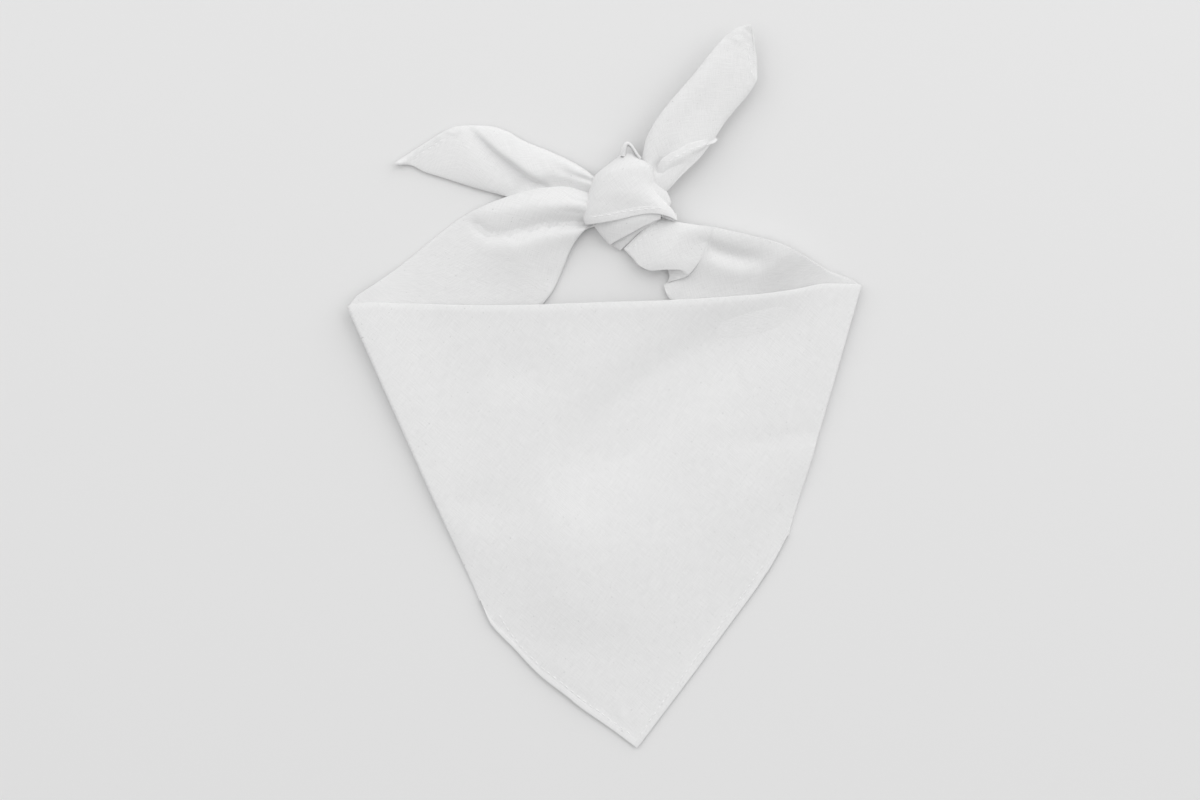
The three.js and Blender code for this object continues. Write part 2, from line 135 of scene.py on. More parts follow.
def spaced(points, count):
    """Points on a smooth line through others, at even steps of their numbers."""
    places = list(range(len(points)))
    curves = [Curve(places, column) for column in zip(*points)]
    return [[curve(places[-1] * k / count) for curve in curves] for k in range(count + 1)]


def sections(track, ends, height, pitch):
    """A table's sections, no further apart than pitch, as (row number, row, distance from the first).

    ends names the columns for the places of a section's two ends, and height that for its middle's height.
    """

    def middle(number):
        row = track(number)
        x0, y0, x1, y1 = [row[name] for name in ends.split()]
        return Vector(((x0 + x1) / 2, (y0 + y1) / 2, row[height] if height else 0))

    numbers = [0.0]
    for k in range(track.last):
        parts = max(1, math.ceil((middle(k + 1) - middle(k)).length / pitch))
        numbers += [k + (n + 1) / parts for n in range(parts)]
    out = [(0.0, track(0.0), 0.0)]
    for a, b in zip(numbers, numbers[1:]):
        out.append((b, track(b), out[-1][2] + (middle(b) - middle(a)).length))
    return out


RIPPLE_WAVES = 5
RIPPLE_RATES = (0.6, 1.7)  # the range of a ripple's wave rates, as shares of the plain one
RIPPLE_HEIGHTS = (0.4, 1)


class Ripple:
    """A wave of uneven length and height along a line, the same on every run."""

    def __init__(self, seed, length):
        rng = random.Random(seed)
        turn = 2 * math.pi
        self.waves = [
            (rng.uniform(*RIPPLE_RATES) * turn / length, rng.uniform(0, turn), rng.uniform(*RIPPLE_HEIGHTS))
            for _ in range(RIPPLE_WAVES)
        ]

    def __call__(self, place):
        total = sum(height * math.sin(rate * place + start) for rate, start, height in self.waves)
        return total / len(self.waves) ** 0.5


STROKE_STEP = 2  # length of the straight pieces that a line of relief is cut into
STROKE_REACH = 2.4  # half widths beyond which a line no longer counts


class Relief:
    """Soft troughs and ridges, each along its own line.

    A line's points give x, y, the rise there, the half width, or those to the line's left and right, and how
    far the crest leans to the left.
    """

    def __init__(self, strokes):
        self.strokes = []
        for rows in strokes:
            rows = [row if len(row) > 4 else (*row, row[3]) for row in rows]
            rows = [row if len(row) > 5 else (*row, 0) for row in rows]
            reach = lengths(rows)
            curves = [Curve(reach, column) for column in zip(*rows)]
            parts = max(2, math.ceil(reach[-1] / STROKE_STEP))
            line = [tuple(curve(reach[-1] * k / parts) for curve in curves) for k in range(parts + 1)]
            wide = STROKE_REACH * max(max(point[3:5]) for point in line)
            xs = [point[0] for point in line]
            ys = [point[1] for point in line]
            self.strokes.append((line, (min(xs) - wide, max(xs) + wide, min(ys) - wide, max(ys) + wide)))

    def __call__(self, x, y):
        """The rise at a place, and how far sideways the crests lean there."""
        rise = lean_x = lean_y = 0.0
        for line, (x0, x1, y0, y1) in self.strokes:
            if not (x0 < x < x1 and y0 < y < y1):
                continue
            nearest = None
            for a, b in zip(line, line[1:]):
                dx, dy = b[0] - a[0], b[1] - a[1]
                t = clamp(((x - a[0]) * dx + (y - a[1]) * dy) / (dx * dx + dy * dy))
                away_x, away_y = x - a[0] - dx * t, y - a[1] - dy * t
                away = math.hypot(away_x, away_y)
                if nearest is None or away < nearest[0]:
                    nearest = (away, dx * away_y - dy * away_x, a, b, t, dx, dy)
            away, side, a, b, t, dx, dy = nearest
            wide = lerp(a[3], b[3], t) if side > 0 else lerp(a[4], b[4], t)
            share = math.exp(-((away / wide) ** 2))
            rise += lerp(a[2], b[2], t) * share
            lean = lerp(a[5], b[5], t) * share / math.hypot(dx, dy)
            lean_x -= dy * lean
            lean_y += dx * lean
        return rise, lean_x, lean_y


def above_floor(height, softness=0.35):
    """A height that never sinks below zero, eased where it meets it."""
    return (height + math.sqrt(height * height + softness * softness)) / 2


# Sizes of the folded cloth, in millimetres

PITCH = 0.5  # from one turn of the band to the next
BAND = 59  # width of the band
CLOTH = 0.42  # the two layers of the doubled cloth together
LAYER_APART = 0.11  # from the middle of the doubled cloth to the middle of one layer
STACK = 3.5 * PITCH + CLOTH / 2  # height of the flat band
CLEARANCE = 1.3  # how far the front's hidden layers lie below the one that shows
RESTING = 0.13  # height of the middle of a layer that lies on the floor
HEM_WIDTH = 3.5  # width of the turned hem
FOLD_SHARE = 0.3  # how far a pressed fold stands out, as a share of a round one
FRONT_FULL = 1.2  # how far the hanging front stands off the floor halfway down
HEM_RISE = 0.34  # how far the turned hem lifts its layer
SIDE_BULGE = 0.7  # how far a side fold stands out, as a share of half its height
HANG_CURVE = 0.8  # below 1, the hanging front sinks to the floor sooner
UNDER_SHORT = 0.7  # how much shorter the front's lower layer hangs
HEM_CALM = 0.35  # the share of the front's relief that is left at its hem
HEM_CALM_WIDTH = 14  # how far from the hem the relief is full again
PUCKER_FROM = 2.5  # how far from the front's hem its puckers are full
PUCKER_LOW = -0.15  # the deepest that one of the front's puckers goes
CLEARANCE_FROM = 3  # where the hidden layers begin to lie lower, from the front's top edge
CLEARANCE_OVER = 12  # over what length they reach CLEARANCE
ARM_SWELL = 2  # how much more uneven the arms are than the front
LOWER_SHARE = 0.8  # how much of an arm's extra height its lower layer takes
DIAGONAL = 0.7071
THREAD_UNIT = 0.1  # the cotton's thread coordinates are in centimetres

# The front, from its left side fold to its right one: the band's top edge, the hem below it, and how high
# the band's back lies at the top edge and at the band's lower edge, and the hem above the floor
FRONT = table("topX topY hemX hemY backLift footLift hemLift", [
    (-128, 41.3, -62.3, -106.8, 2.1, 2.1, 0.6),
    (-117, 42.8, -57.3, -118.3, 2.3, 2.1, 0.6),
    (-100, 42.3, -45, -131.5, 2.9, 2.1, 0.8),
    (-82, 41.8, -32.3, -144.8, 3.6, 2.3, 0.9),
    (-62.3, 41.3, -21, -153.5, 4.4, 2.6, 0.9),
    (-42, 41.5, -11.3, -161.3, 4.8, 3, 0.8),
    (-20, 42.2, 2, -170.5, 4.8, 3.2, 0.5),
    (0, 43, 16.3, -181.2, 4.8, 3.2, 0.3),
    (20, 43.5, 28.5, -165, 5, 3.2, 0.3),
    (40, 44.3, 41, -148.5, 5.2, 3, 0.3),
    (60, 45.5, 52.5, -133, 5.2, 2.8, 0.3),
    (78, 47, 64, -117.5, 5, 2.6, 0.4),
    (95, 49.3, 75, -102.5, 4.4, 2.4, 0.5),
    (112, 52.3, 84.5, -88, 3.2, 2.2, 0.5),
    (127.6, 51.8, 91.8, -74.3, 2.1, 2.1, 0.5),
])
TIP = 7  # the front's row at its point
LEFT_HEM_WAY = (0.754, -0.657)  # the threads of the front run along its two hems
RIGHT_HEM_WAY = (0.577, 0.817)

# The arms, from side fold to knot: their outer and inner edges, how far the upper face stands above the flat
# band at the outer edge, halfway and at the inner edge, where its inner edge lies if it overhangs (the rim),
# and how far the section bows sideways
ARM_COLUMNS = "outerX outerY innerX innerY outerHeight midHeight innerHeight rimX rimY bow"


def arm_rows(rows):
    """An arm's rows. The rim is at the inner edge and the bow nothing where a row doesn't give them."""
    return table(ARM_COLUMNS, [row if len(row) == 10 else (*row, row[2], row[3], 0) for row in rows])


LEFT_ARM = arm_rows([
    (-128, 41.3, -103.6, -13.7, 0, 0, 0),
    (-124.3, 46, -99, -9, 0, 0, 0),
    (-117, 51, -88, 2, 0, 0.1, 0),
    (-107, 58, -74.8, 10.8, 0, 0.5, 0.1),
    (-94.5, 67.8, -57.3, 23.3, 0.2, 1, 0.2),
    (-81.8, 78.3, -42.3, 33.8, 0.5, 1.7, 0.2),
    (-71.3, 86, -31.3, 41.8, 1, 2.6, 0.3),
    (-62.3, 90.8, -26.3, 48.3, 1.6, 3.4, 0.5),
    (-52.3, 94.8, -22.8, 55.3, 2.2, 4.2, 1),
    (-41.3, 98.3, -19.8, 62.8, 2.8, 5.2, 1.8),
    (-31.3, 100.5, -16.8, 69.8, 3.2, 6, 2.8),
    (-21.3, 101, -13.3, 75.3, 3.4, 6.8, 3.6),
    (-10, 98.5, -8, 80, 3.6, 7.4, 4),
    (2, 94, 2, 82, 4, 7, 4),
])

# The right arm buckles: rows 7 to 10 go in under the stretch by the knot and come out over it
RIGHT_ARM = arm_rows([
    (127.6, 51.8, 111, -6.6, 0, 0, 0),
    (124, 54.3, 106, 3, 1, 0.5, 0),
    (112, 59, 90, 17.5, 3.4, 2.2, 0),
    (100.3, 65.8, 74, 25, 5.6, 3.4, 0),
    (89, 71.8, 57, 32.8, 7.2, 4.4, 0),
    (82, 74, 49, 36.5, 7.6, 4.6, 0),
    (68, 77.4, 38.5, 41.8, 7.6, 4.4, 0),
    (60, 79.2, 32.5, 44.5, 7.4, 4.3, 0.2, 32.5, 44.5, 1),
    (55, 80.4, 31, 50.5, 7.4, 4.4, 0.4, 29.5, 51.5, 5),
    (53.5, 80.6, 32.5, 56, 7.4, 5.7, 5.6, 41.3, 56, 2.4),
    (51, 81, 31, 60.5, 7.2, 6.5, 7, 37, 59, 1.2),
    (48, 81.3, 27.5, 60.5, 7, 7.8, 7.4, 30, 58.9, 0.6),
    (43.5, 82, 22.5, 60, 6.8, 8.8, 6.4, 23.5, 58.4, 0),
    (36, 83.2, 18, 60.6, 6.2, 7.6, 4.8, 18, 60.6, 0),
    (30, 85, 13.3, 65.6, 4.6, 5.8, 3.4, 13.3, 65.6, 0),
    (27.6, 86.2, 9.9, 69.2, 4.4, 5.4, 2.4, 9.9, 69.2, 0),
    (27, 86.6, 9.5, 69.7, 3.8, 4.8, 1.8, 9.5, 69.7, 0),
])
FLAP_FROM = 0.25  # the share of an arm's width, from its outer edge, that its inner height leaves alone
COVERED = 4  # how far below the front's top edge an arm lies flat
UNCOVERED = 20  # how far above it the arm stands at its full height
UNDER_RISE = 0.4  # how much of an arm's rise its lower turns share
LEFT_UNDER_HEM = FRONT[0]["hemX"]
RIGHT_UNDER_HEM = FRONT[-1]["hemX"]

# The folds of the arms' upper faces
LEFT_ARM_RELIEF = [
    [
        (-72, 86.5, 0.2, 5, 4), (-62, 87, 1.2, 5, 4), (-50, 88.5, 2, 6, 5), (-36, 91, 2.4, 6, 5),
        (-11, 92, 1.8, 4, 3),
    ],
    [
        (-68, 84.5, -0.3, 2, 3), (-64, 81.2, -1.2, 2.2, 3), (-60, 78.2, -1.8, 2.6, 3.5),
        (-53, 76.8, -2.2, 3, 4), (-42.5, 78.4, -2.8, 3.5, 4), (-31.7, 81.2, -3.6, 3.5),
        (-20, 82.4, -4.8, 3), (-9, 82.8, -6, 2.4),
    ],
    [
        (-62, 75, 0.2, 2.5, 5), (-56, 71.5, 0.9, 3, 7), (-46, 71.5, 1.4, 4, 8), (-31, 75, 1.6, 3.5, 7),
        (-20, 77, 1.6, 3, 6), (-9, 78.5, 1.4, 2.4, 4),
    ],
    [(-24, 88.5, -0.2, 1, 1.2), (-17, 88, -0.9, 1, 1.2), (-8, 86.8, -1.8, 1, 1.2)],
    [(-21, 86, -0.1, 0.9), (-8, 85, -0.8, 0.9)],
    [(-18, 95, -0.2, 1), (-8, 92, -1, 1)],
    [(-33, 58, -0.5, 6, 7), (-22, 52, -0.7, 5, 6)],
    [(-82, 62, -0.5, 10, 12), (-62, 50, -0.6, 10, 12)],
]
RIGHT_ARM_RELIEF = [
    [
        (90, 71, 0.2, 5), (84, 72.5, 0.5, 5, 4), (76, 74.2, 0.9, 5, 4), (66, 75.8, 1.2, 4.5, 4),
        (57, 77, 1.2, 4.5, 4), (48, 78.6, 1.2, 5, 4), (38, 80.5, 0.9, 6, 4), (30, 82.5, 0.5, 6, 4),
    ],
    [
        (52, 72.5, -0.8, 2, 3), (57, 68.5, -3.6, 3.2, 4.5), (66, 65.5, -3.8, 3.6, 5),
        (75, 64, -2.4, 4, 4.5), (82, 64.5, -0.3, 4, 5),
    ],
    [(40, 48.5, 0.3, 6, 5), (52, 51, 0.8, 8, 6), (64, 53, 0.5, 8, 6)],
    [
        (88, 73, 0.5, 16, 3), (87.5, 67, 0.9, 18, 3.5), (84, 58.5, 0.9, 18, 4), (77, 51.5, 0.7, 16, 5),
        (70, 47.5, 0.2, 14, 5),
    ],
]

# The two side folds stand a little clear of the floor
GROUND_RELIEF = [
    [(-128, 41.3, 4, 26, 40), (-110, 0, 2.6, 24, 40), (-90, -45, 1.4, 22, 40), (-62, -107, 0.4, 18, 30)],
    [(91.8, -74.3, 0.2, 20, 30), (104, -30, 0.6, 22, 30), (116, 10, 1.4, 24, 30), (127.6, 51.8, 2.6, 26, 30)],
]

# The front's soft folds: a long trough from its right corner, a low ridge below it, shallow dimples, and the
# short puckers at the hem
FRONT_RELIEF = [
    [
        (104, 40, -0.2, 14, 8), (84, 32, -1.8, 18, 12), (60, 21, -3.8, 20, 15), (38, 9, -5, 22, 16),
        (12, -14, -4.8, 22, 18), (-8, -38, -2.8, 22, 19), (-16, -66, -0.4, 20, 18),
    ],
    [
        (-4, -36, 0.1, 38, 18), (-10, -60, 1.5, 40, 19), (-15, -84, 2.8, 42, 20), (-18, -104, 2.8, 40, 20),
        (-23, -130, 1, 30, 16),
    ],
    [
        (-105, 42, 0.1, 3, 6), (-60, 41, 0.6, 4, 8), (-20, 41.6, 0.8, 4, 9), (20, 43, 1, 4, 9),
        (58, 45, 1.8, 4, 9), (86, 47.6, 1.4, 4, 8), (108, 51.5, 0.2, 3, 6),
    ],
    [(-62, 6, -0.4, 13), (-42, 8, -1.3, 13, 12), (-24, 4, -0.4, 13, 12)],
    [(-86, -54, -0.4, 11, 12), (-68, -59, -1.1, 11, 12), (-46, -60, -0.4, 11, 12)],
    [(52, -28, -0.1, 4), (80, -26, -0.45, 4, 5), (104, -23, -0.5, 4, 5)],
    [(22, -160, -0.3, 5, 3), (47, -129, -0.6, 6, 3), (66, -104, -0.3, 6, 3)],
    [(-31, -141, 0.5, 1.2), (-29.5, -136, 0.35, 1.2), (-28, -131, 0, 1)],
    [(-55, -117.5, 0.5, 1.4), (-52, -110, 0.1, 1.4)],
    [(9, -168, 0.5, 1.4), (6, -160, 0.4, 1.5), (2, -151, 0, 1.5)],
    [(-7, -158, 0.45, 1.5), (-5, -151, 0.3, 1.5), (-3, -145, 0, 1.5)],
    [(-22, -149, 0.4, 2), (-20, -140, 0.05, 2)],
]


class Row:
    """A line of points across the cloth, each with the run it belongs to and its thread coordinates."""

    def __init__(self):
        self.points = []
        self.runs = []
        self.plan = []
        self.along = []

    def add(self, point, run, plan, along):
        self.points.append(point)
        self.runs.append(run)
        self.plan.append(plan)
        self.along.append(along)


class Cloth:
    """The cloth's surface, as points, faces and the thread coordinates of each face's corners."""

    def __init__(self):
        self.points = []
        self.faces = []
        self.threads = []

    def lay(self, rows):
        """Joins rows of points, each to the next, run by run."""
        starts = []
        for row in rows:
            starts.append(len(self.points))
            self.points += row.points
        for k in range(len(rows) - 1):
            self.join(rows[k], starts[k], rows[k + 1], starts[k + 1])

    def join(self, a, first_a, b, first_b):
        if len(a.points) == len(b.points):
            for j in range(len(a.points) - 1):
                corners = [(a, first_a, j), (b, first_b, j), (b, first_b, j + 1), (a, first_a, j + 1)]
                self.face(corners, a.runs[j + 1])
            return
        for run in dict.fromkeys(a.runs):
            ja = [j for j, name in enumerate(a.runs) if name == run]
            jb = [j for j, name in enumerate(b.runs) if name == run]
            ja = [ja[0] - 1, *ja] if ja[0] else ja
            jb = [jb[0] - 1, *jb] if jb[0] else jb
            self.zip_up([(a, first_a, j) for j in ja], [(b, first_b, j) for j in jb], run)

    def zip_up(self, left, right, run):
        """Joins two lines with different numbers of points by triangles."""
        i = j = 0
        while i < len(left) - 1 or j < len(right) - 1:
            step_left = (i + 1) / max(len(left) - 1, 1) if i < len(left) - 1 else 2
            step_right = (j + 1) / max(len(right) - 1, 1) if j < len(right) - 1 else 2
            if step_left <= step_right:
                self.face([left[i], right[j], left[i + 1]], run)
                i += 1
            else:
                self.face([left[i], right[j], right[j + 1]], run)
                j += 1

    def face(self, corners, run):
        self.faces.append([first + j for _, first, j in corners])
        flat = run in ("front", "hem")
        self.threads.append([(row.plan if flat else row.along)[j] for row, _, j in corners])

    def mesh(self, name):
        """A mesh in metres, with the thread coordinates as its UV map."""
        made = bpy.data.meshes.new(name)
        points = [
            ((p.x + MIDDLE[0]) * MM, (p.y + MIDDLE[1]) * MM, max(p.z, RESTING) * MM) for p in self.points
        ]
        made.from_pydata(points, [], self.faces)
        threads = made.uv_layers.new(name="threads")
        flat = [value * THREAD_UNIT for face in self.threads for corner in face for value in corner]
        threads.data.foreach_set("uv", flat)
        made.validate()
        return made


# The band's section


def arc(centre, level, radius, steps, run):
    """A pressed half-turn of the section, downwards, or upwards for a negative radius."""
    out = []
    side = math.copysign(1, radius)
    for k in range(steps):
        angle = math.pi / 2 - math.pi * (k + 1) / steps
        normal = (-math.cos(angle) * side, math.sin(angle) * side)
        place = centre - FOLD_SHARE * radius * math.cos(angle)
        out.append((place, level + radius * math.sin(angle), normal, run, 0))
    return out


def straight(start, end, level, side, steps, run):
    return [(lerp(start, end, (k + 1) / steps), level, (0, side), run, 0) for k in range(steps)]


# The turned hem: distances from its edge of the layer folded under, and distance and lift of the layer above,
# with the dip of its stitches
HEM_UNDER = (3.1, 2, 1)
HEM_OVER = ((1, 1), (2, 0.98), (2.6, 0.9), (2.9, 0.62), (3.2, 0.8), (3.5, 0.62), (3.9, 0.25), (4.4, 0))
HEM_ROUND = 4  # pieces round its edge


def hem_section(free, level, hem):
    """The turned hem, from its hidden raw edge round the outside and over to the cloth inside it."""
    roll = HEM_RISE / 2
    scale = hem / HEM_WIDTH
    out = [(free - s * scale, level, (0, 1), "hem", 0) for s in HEM_UNDER]
    for k in range(HEM_ROUND + 1):
        angle = -math.pi / 2 + math.pi * k / HEM_ROUND
        s = free - roll + roll * math.cos(angle)
        out.append((s, level, (0, 1), "hem", roll + roll * math.sin(angle)))
    for s, lift in HEM_OVER:
        out.append((free - s * scale, level, (0, 1), "hem", HEM_RISE * lift))
    return out


# How finely each run of the section is cut, and the band as a whole, for the doubled cloth's upper layer (1)
# and its hidden lower one (-1)
RUNS = "front outerFold lowerFold inside innerFold core".split()
DETAIL = {
    1: {
        "steps": dict(zip(RUNS, (56, 6, 5, 2, 3, 2))),
        "arm_steps": dict(zip(RUNS, (4, 6, 5, 2, 3, 2))),
        "pitch": 2.6,
        "arm_pitch": 1.6,
        "across": 34,
        "turns": 10,
    },
    -1: {
        "steps": dict(zip(RUNS, (20, 5, 4, 2, 2, 2))),
        "arm_steps": dict(zip(RUNS, (4, 5, 4, 2, 2, 2))),
        "pitch": 8,
        "arm_pitch": 5,
        "across": 10,
        "turns": 4,
    },
}
UNDER_LEAST = 1.5  # the least that the layer with the hem runs out past the top fold
CORE_SHORT = 3  # how far the innermost turn stops short of the lower fold
HIDDEN_BACK = [k / 9 for k in range(10)]  # places across the band's back where it is hidden


def band_section(width, length, places, steps):
    """The section as (distance, level, normal, run, lift), from the hem to the corner fold at the core."""
    outer = 1.5 * PITCH
    top = outer * FOLD_SHARE + CLOTH / 2
    low = width - PITCH * FOLD_SHARE - CLOTH / 2
    free = max(length, top + UNDER_LEAST)
    hem = min(HEM_WIDTH, (free - top) / 3)
    section = hem_section(free, 3.5 * PITCH, hem)
    section += straight(section[-1][0], top, 3.5 * PITCH, 1, steps["front"], "front")
    section += arc(top, 2 * PITCH, outer, steps["outerFold"], "outerFold")
    section += [(lerp(top, low, part), 0.5 * PITCH, (0, -1), "back", 0) for part in places[1:]]
    section += arc(low, 1.5 * PITCH, -PITCH, steps["lowerFold"], "lowerFold")
    section += straight(low, top, 2.5 * PITCH, 1, steps["inside"], "inside")
    section += arc(top, 2 * PITCH, 0.5 * PITCH, steps["innerFold"], "innerFold")
    section += straight(top, low - CORE_SHORT, 1.5 * PITCH, -1, steps["core"], "core")
    return section


def plan_threads(x, y):
    """A place on the front, measured along its two hems."""
    ax, ay = LEFT_HEM_WAY
    bx, by = RIGHT_HEM_WAY
    det = ax * by - bx * ay
    return ((x * by - bx * y) / det, (ax * y - x * ay) / det)


def bias_threads(along, across):
    """A place on the band, where the threads run slantwise."""
    return ((along + across) * DIAGONAL, (along - across) * DIAGONAL)


HEM_PUCKER = Ripple(4, 9)
SWELL = Ripple(2, 60)
SWELLS = ((0.13, 1, 0.4, 0), (0.1, -0.5, 0.7, 40))  # height, rate along X and Y, and start
# Height, rate, and how far into the cloth they reach
PUCKERS = {"front": (0.16, 1.6, 5), "wrap": (0.12, 1.4, 4), "end": (0.3, 1.7, 3.5)}
ground_relief = Relief(GROUND_RELIEF)
top_edge = Curve([row["topX"] for row in FRONT], [row["topY"] for row in FRONT])
front_relief = Relief(FRONT_RELIEF)


def swell(x, y):
    """The faint unevenness of cloth that has been pressed flat."""
    return sum(height * SWELL(x * per_x + y * per_y + start) for height, per_x, per_y, start in SWELLS)


def puckers(kind, along, inside):
    """The pull of a hem's stitches on the cloth, at a distance inside the hem's edge."""
    height, rate, reach = PUCKERS[kind]
    return height * HEM_PUCKER(along * rate) * math.exp(-inside / reach)


STEEP = 0.01  # an arm that goes less than this sideways meets no hem
SHOWN_RUNS = ("front", "hem", "outerFold")


def front_row(row, along, side, steps):
    """A section of the front. side is 1 for the upper layer of the doubled cloth and -1 for the lower."""
    run = Vector((row["hemX"] - row["topX"], row["hemY"] - row["topY"]))
    length = run.length - (0 if side > 0 else UNDER_SHORT)
    way = run.normalized()
    width = BAND / abs(way.y)
    section = band_section(width, length, HIDDEN_BACK, steps)
    reach = lengths(section)
    out = Row()
    for (s, level, normal, name, lift), across in zip(section, reach):
        offset = side * (LAYER_APART + lift)
        place = s + normal[0] * offset
        face = level + normal[1] * offset
        x = row["topX"] + way.x * place
        y = row["topY"] + way.y * place
        lift = lerp(row["backLift"], row["footLift"], clamp(place / width))
        relief = front_relief(x, y)[0] + swell(x, y)
        pucker = 0.0
        if name in ("front", "hem"):
            inside = length - s
            hang = smooth((s - width) / (length - width)) ** HANG_CURVE
            face = lerp(face, offset + CLOTH / 2 + HEM_RISE, hang)
            lift = lerp(lift, row["hemLift"], hang) + FRONT_FULL * math.sin(math.pi * smooth(hang))
            relief *= lerp(HEM_CALM, 1, smooth(inside / HEM_CALM_WIDTH))
            pucker = puckers("front", along, inside) * smooth(inside / PUCKER_FROM)
        z = face + above_floor(lift + ground_relief(x, y)[0] + relief)
        z += max(pucker, PUCKER_LOW if side > 0 else 0)
        if side < 0 or name not in SHOWN_RUNS:
            z -= CLEARANCE * smooth((s - CLEARANCE_FROM) / CLEARANCE_OVER)
        out.add(Vector((x, y, z)), name, plan_threads(x, y), bias_threads(along, across))
    return out


# The arms


def freedom(name, level):
    """How much of an arm's extra height each part of its section takes."""
    if name == "back":
        return 1
    if name == "outerFold":
        return (3.5 * PITCH - level) / (3 * PITCH)
    if name == "lowerFold":
        return (2.5 * PITCH - level) / (2 * PITCH)
    return 0


def arm_slope(row, part):
    """The height of an arm's upper face between its edges, before its crown is added."""
    return lerp(row["outerHeight"], row["innerHeight"], smooth((part - FLAP_FROM) / (1 - FLAP_FROM)))


def arm_row(row, relief, under_hem, along, side, places, steps):
    """A section of an arm."""
    start = Vector((row["outerX"], row["outerY"]))
    run = Vector((row["innerX"], row["innerY"])) - start
    rim = Vector((row["rimX"], row["rimY"])) - start
    width = run.length
    way = run.normalized()
    to_hem = (under_hem - row["outerX"]) / way.x if abs(way.x) > STEEP else 0
    crown = row["midHeight"] - arm_slope(row, 0.5)
    section = band_section(width, to_hem, places, steps)
    reach = lengths(section)
    out = Row()
    for (s, level, normal, name, lift), across in zip(section, reach):
        offset = side * (LAYER_APART + lift)
        part = clamp(s / width)
        free = freedom(name, level)
        place = (s + normal[0] * offset) / width
        bowed = Vector((-way.y, way.x)) * row["bow"] * 4 * part * (1 - part)
        plan = (start + run * place).lerp(start + rim * place + bowed, free)
        upper = arm_slope(row, part) + crown * 4 * part * (1 - part)
        rise, lean_x, lean_y = relief(plan.x, plan.y)
        shown = smooth((plan.y - top_edge(plan.x) + COVERED) / (COVERED + UNCOVERED))
        extra = above_floor((upper + rise) * shown + ARM_SWELL * swell(plan.x, plan.y))
        extra *= lerp(UNDER_RISE, 1, free)
        z = STACK - level - normal[1] * offset + extra * (1 if side > 0 else LOWER_SHARE)
        z += ground_relief(plan.x, plan.y)[0]
        plan += Vector((lean_x, lean_y)) * free
        out.add(Vector((plan.x, plan.y, z)), name, plan_threads(plan.x, plan.y), bias_threads(along, across))
    return out


def fold_row(front, arm, outward, turn, along):
    """A section part of the way round a side fold, between the front's section and the arm's."""
    out = Row()
    part = turn / math.pi
    for k, (a, b) in enumerate(zip(front.points, arm.points)):
        radius = (a.z - b.z) / 2
        out_by = radius * SIDE_BULGE * math.sin(turn)
        x = lerp(a.x, b.x, part) + outward.x * out_by
        y = lerp(a.y, b.y, part) + outward.y * out_by
        z = (a.z + b.z) / 2 + radius * math.cos(turn)
        u, v = front.along[k]
        shift = along * DIAGONAL
        out.add(Vector((x, y, z)), front.runs[k], front.plan[k], (u + shift, v + shift))
    return out


def arm(rows, relief, under_hem, side, places, pitch, steps):
    """All sections of an arm."""
    return [
        arm_row(row, relief, under_hem, -along, side, places, steps)
        for _, row, along in sections(Track(rows), "outerX outerY rimX rimY", "midHeight", pitch)
    ]


def band(cloth, side):
    """The band with the hanging front and both arms, one layer of the doubled cloth."""
    detail = DETAIL[side]
    steps = detail["steps"]
    shown = [k / detail["across"] for k in range(detail["across"] + 1)]
    track = Track(FRONT, {"hemX": (TIP,), "hemY": (TIP,)})
    front = [
        front_row(row, along, side, steps)
        for _, row, along in sections(track, "topX topY topX topY", None, detail["pitch"])
    ]
    arms = []
    folds = []
    for rows, creases, under_hem, first, way in (
        (LEFT_ARM, Relief(LEFT_ARM_RELIEF), LEFT_UNDER_HEM, front[0], 1),
        (RIGHT_ARM, Relief(RIGHT_ARM_RELIEF), RIGHT_UNDER_HEM, front[-1], -1),
    ):
        start = arm_row(Track(rows)(0), creases, under_hem, 0, side, HIDDEN_BACK, steps)
        edge = FRONT[0] if way > 0 else FRONT[-1]
        outward = Vector((edge["hemY"] - edge["topY"], edge["topX"] - edge["hemX"])).normalized() * way
        turns = detail["turns"]
        folds.append(
            [fold_row(first, start, outward, math.pi * (k + 1) / turns, -way * (k + 1)) for k in range(turns)]
        )
        arms.append(arm(rows, creases, under_hem, side, shown, detail["arm_pitch"], detail["arm_steps"]))
    left, right = arms
    cloth.lay([*left[:0:-1], *folds[0][::-1], *front, *folds[1], *right[1:]])


# Sheets of the knot and the ends


def sheet_rows(lines):
    """Rows for a plain sheet, its thread coordinates measured over its surface."""
    rows = []
    along = 0.0
    for k, line in enumerate(lines):
        if k:
            along += (line[len(line) // 2] - lines[k - 1][len(line) // 2]).length
        row = Row()
        across = 0.0
        for j, point in enumerate(line):
            if j:
                across += (point - line[j - 1]).length
            threads = bias_threads(along, across)
            row.add(point, "sheet", threads, threads)
        rows.append(row)
    return rows


WRAP_COLUMNS = "leftX leftY leftZ rightX rightY rightZ crown bow"

# The upper wrap, from behind the small loop at its top to its hemmed lower edge: its outline left and right
# with the height there, the height of its crown, and how far it bows to +Y
UPPER_WRAP = table(WRAP_COLUMNS, [
    (8.8, 117.9, 8, 16.9, 115.4, 8, 12.4, 0.5),
    (7.6, 116.3, 7.6, 18.3, 114.2, 8, 13.3, 0.4),
    (4, 113.4, 7, 21.8, 112.4, 8, 14.6, 0.2),
    (-0.6, 110, 6.4, 24.7, 110, 8, 15.7, 0),
    (-5, 105.9, 6, 25.4, 107, 8, 16.4, 0),
    (-6.9, 101.4, 6, 25.2, 102.6, 8.4, 16.8, 0),
    (-8.1, 97.2, 6, 26, 98.6, 9, 16.8, 0),
    (-9.4, 92.3, 6, 28.3, 95, 9.4, 16.4, 0.3),
    (-10.3, 88.4, 6, 31.4, 91.8, 9.6, 15.7, 1.2),
    (-10.6, 85, 5.8, 34.6, 88, 9.4, 14.8, 2.6),
    (-9.5, 81.9, 5.6, 36.1, 83.8, 9, 13.8, 3.9),
])
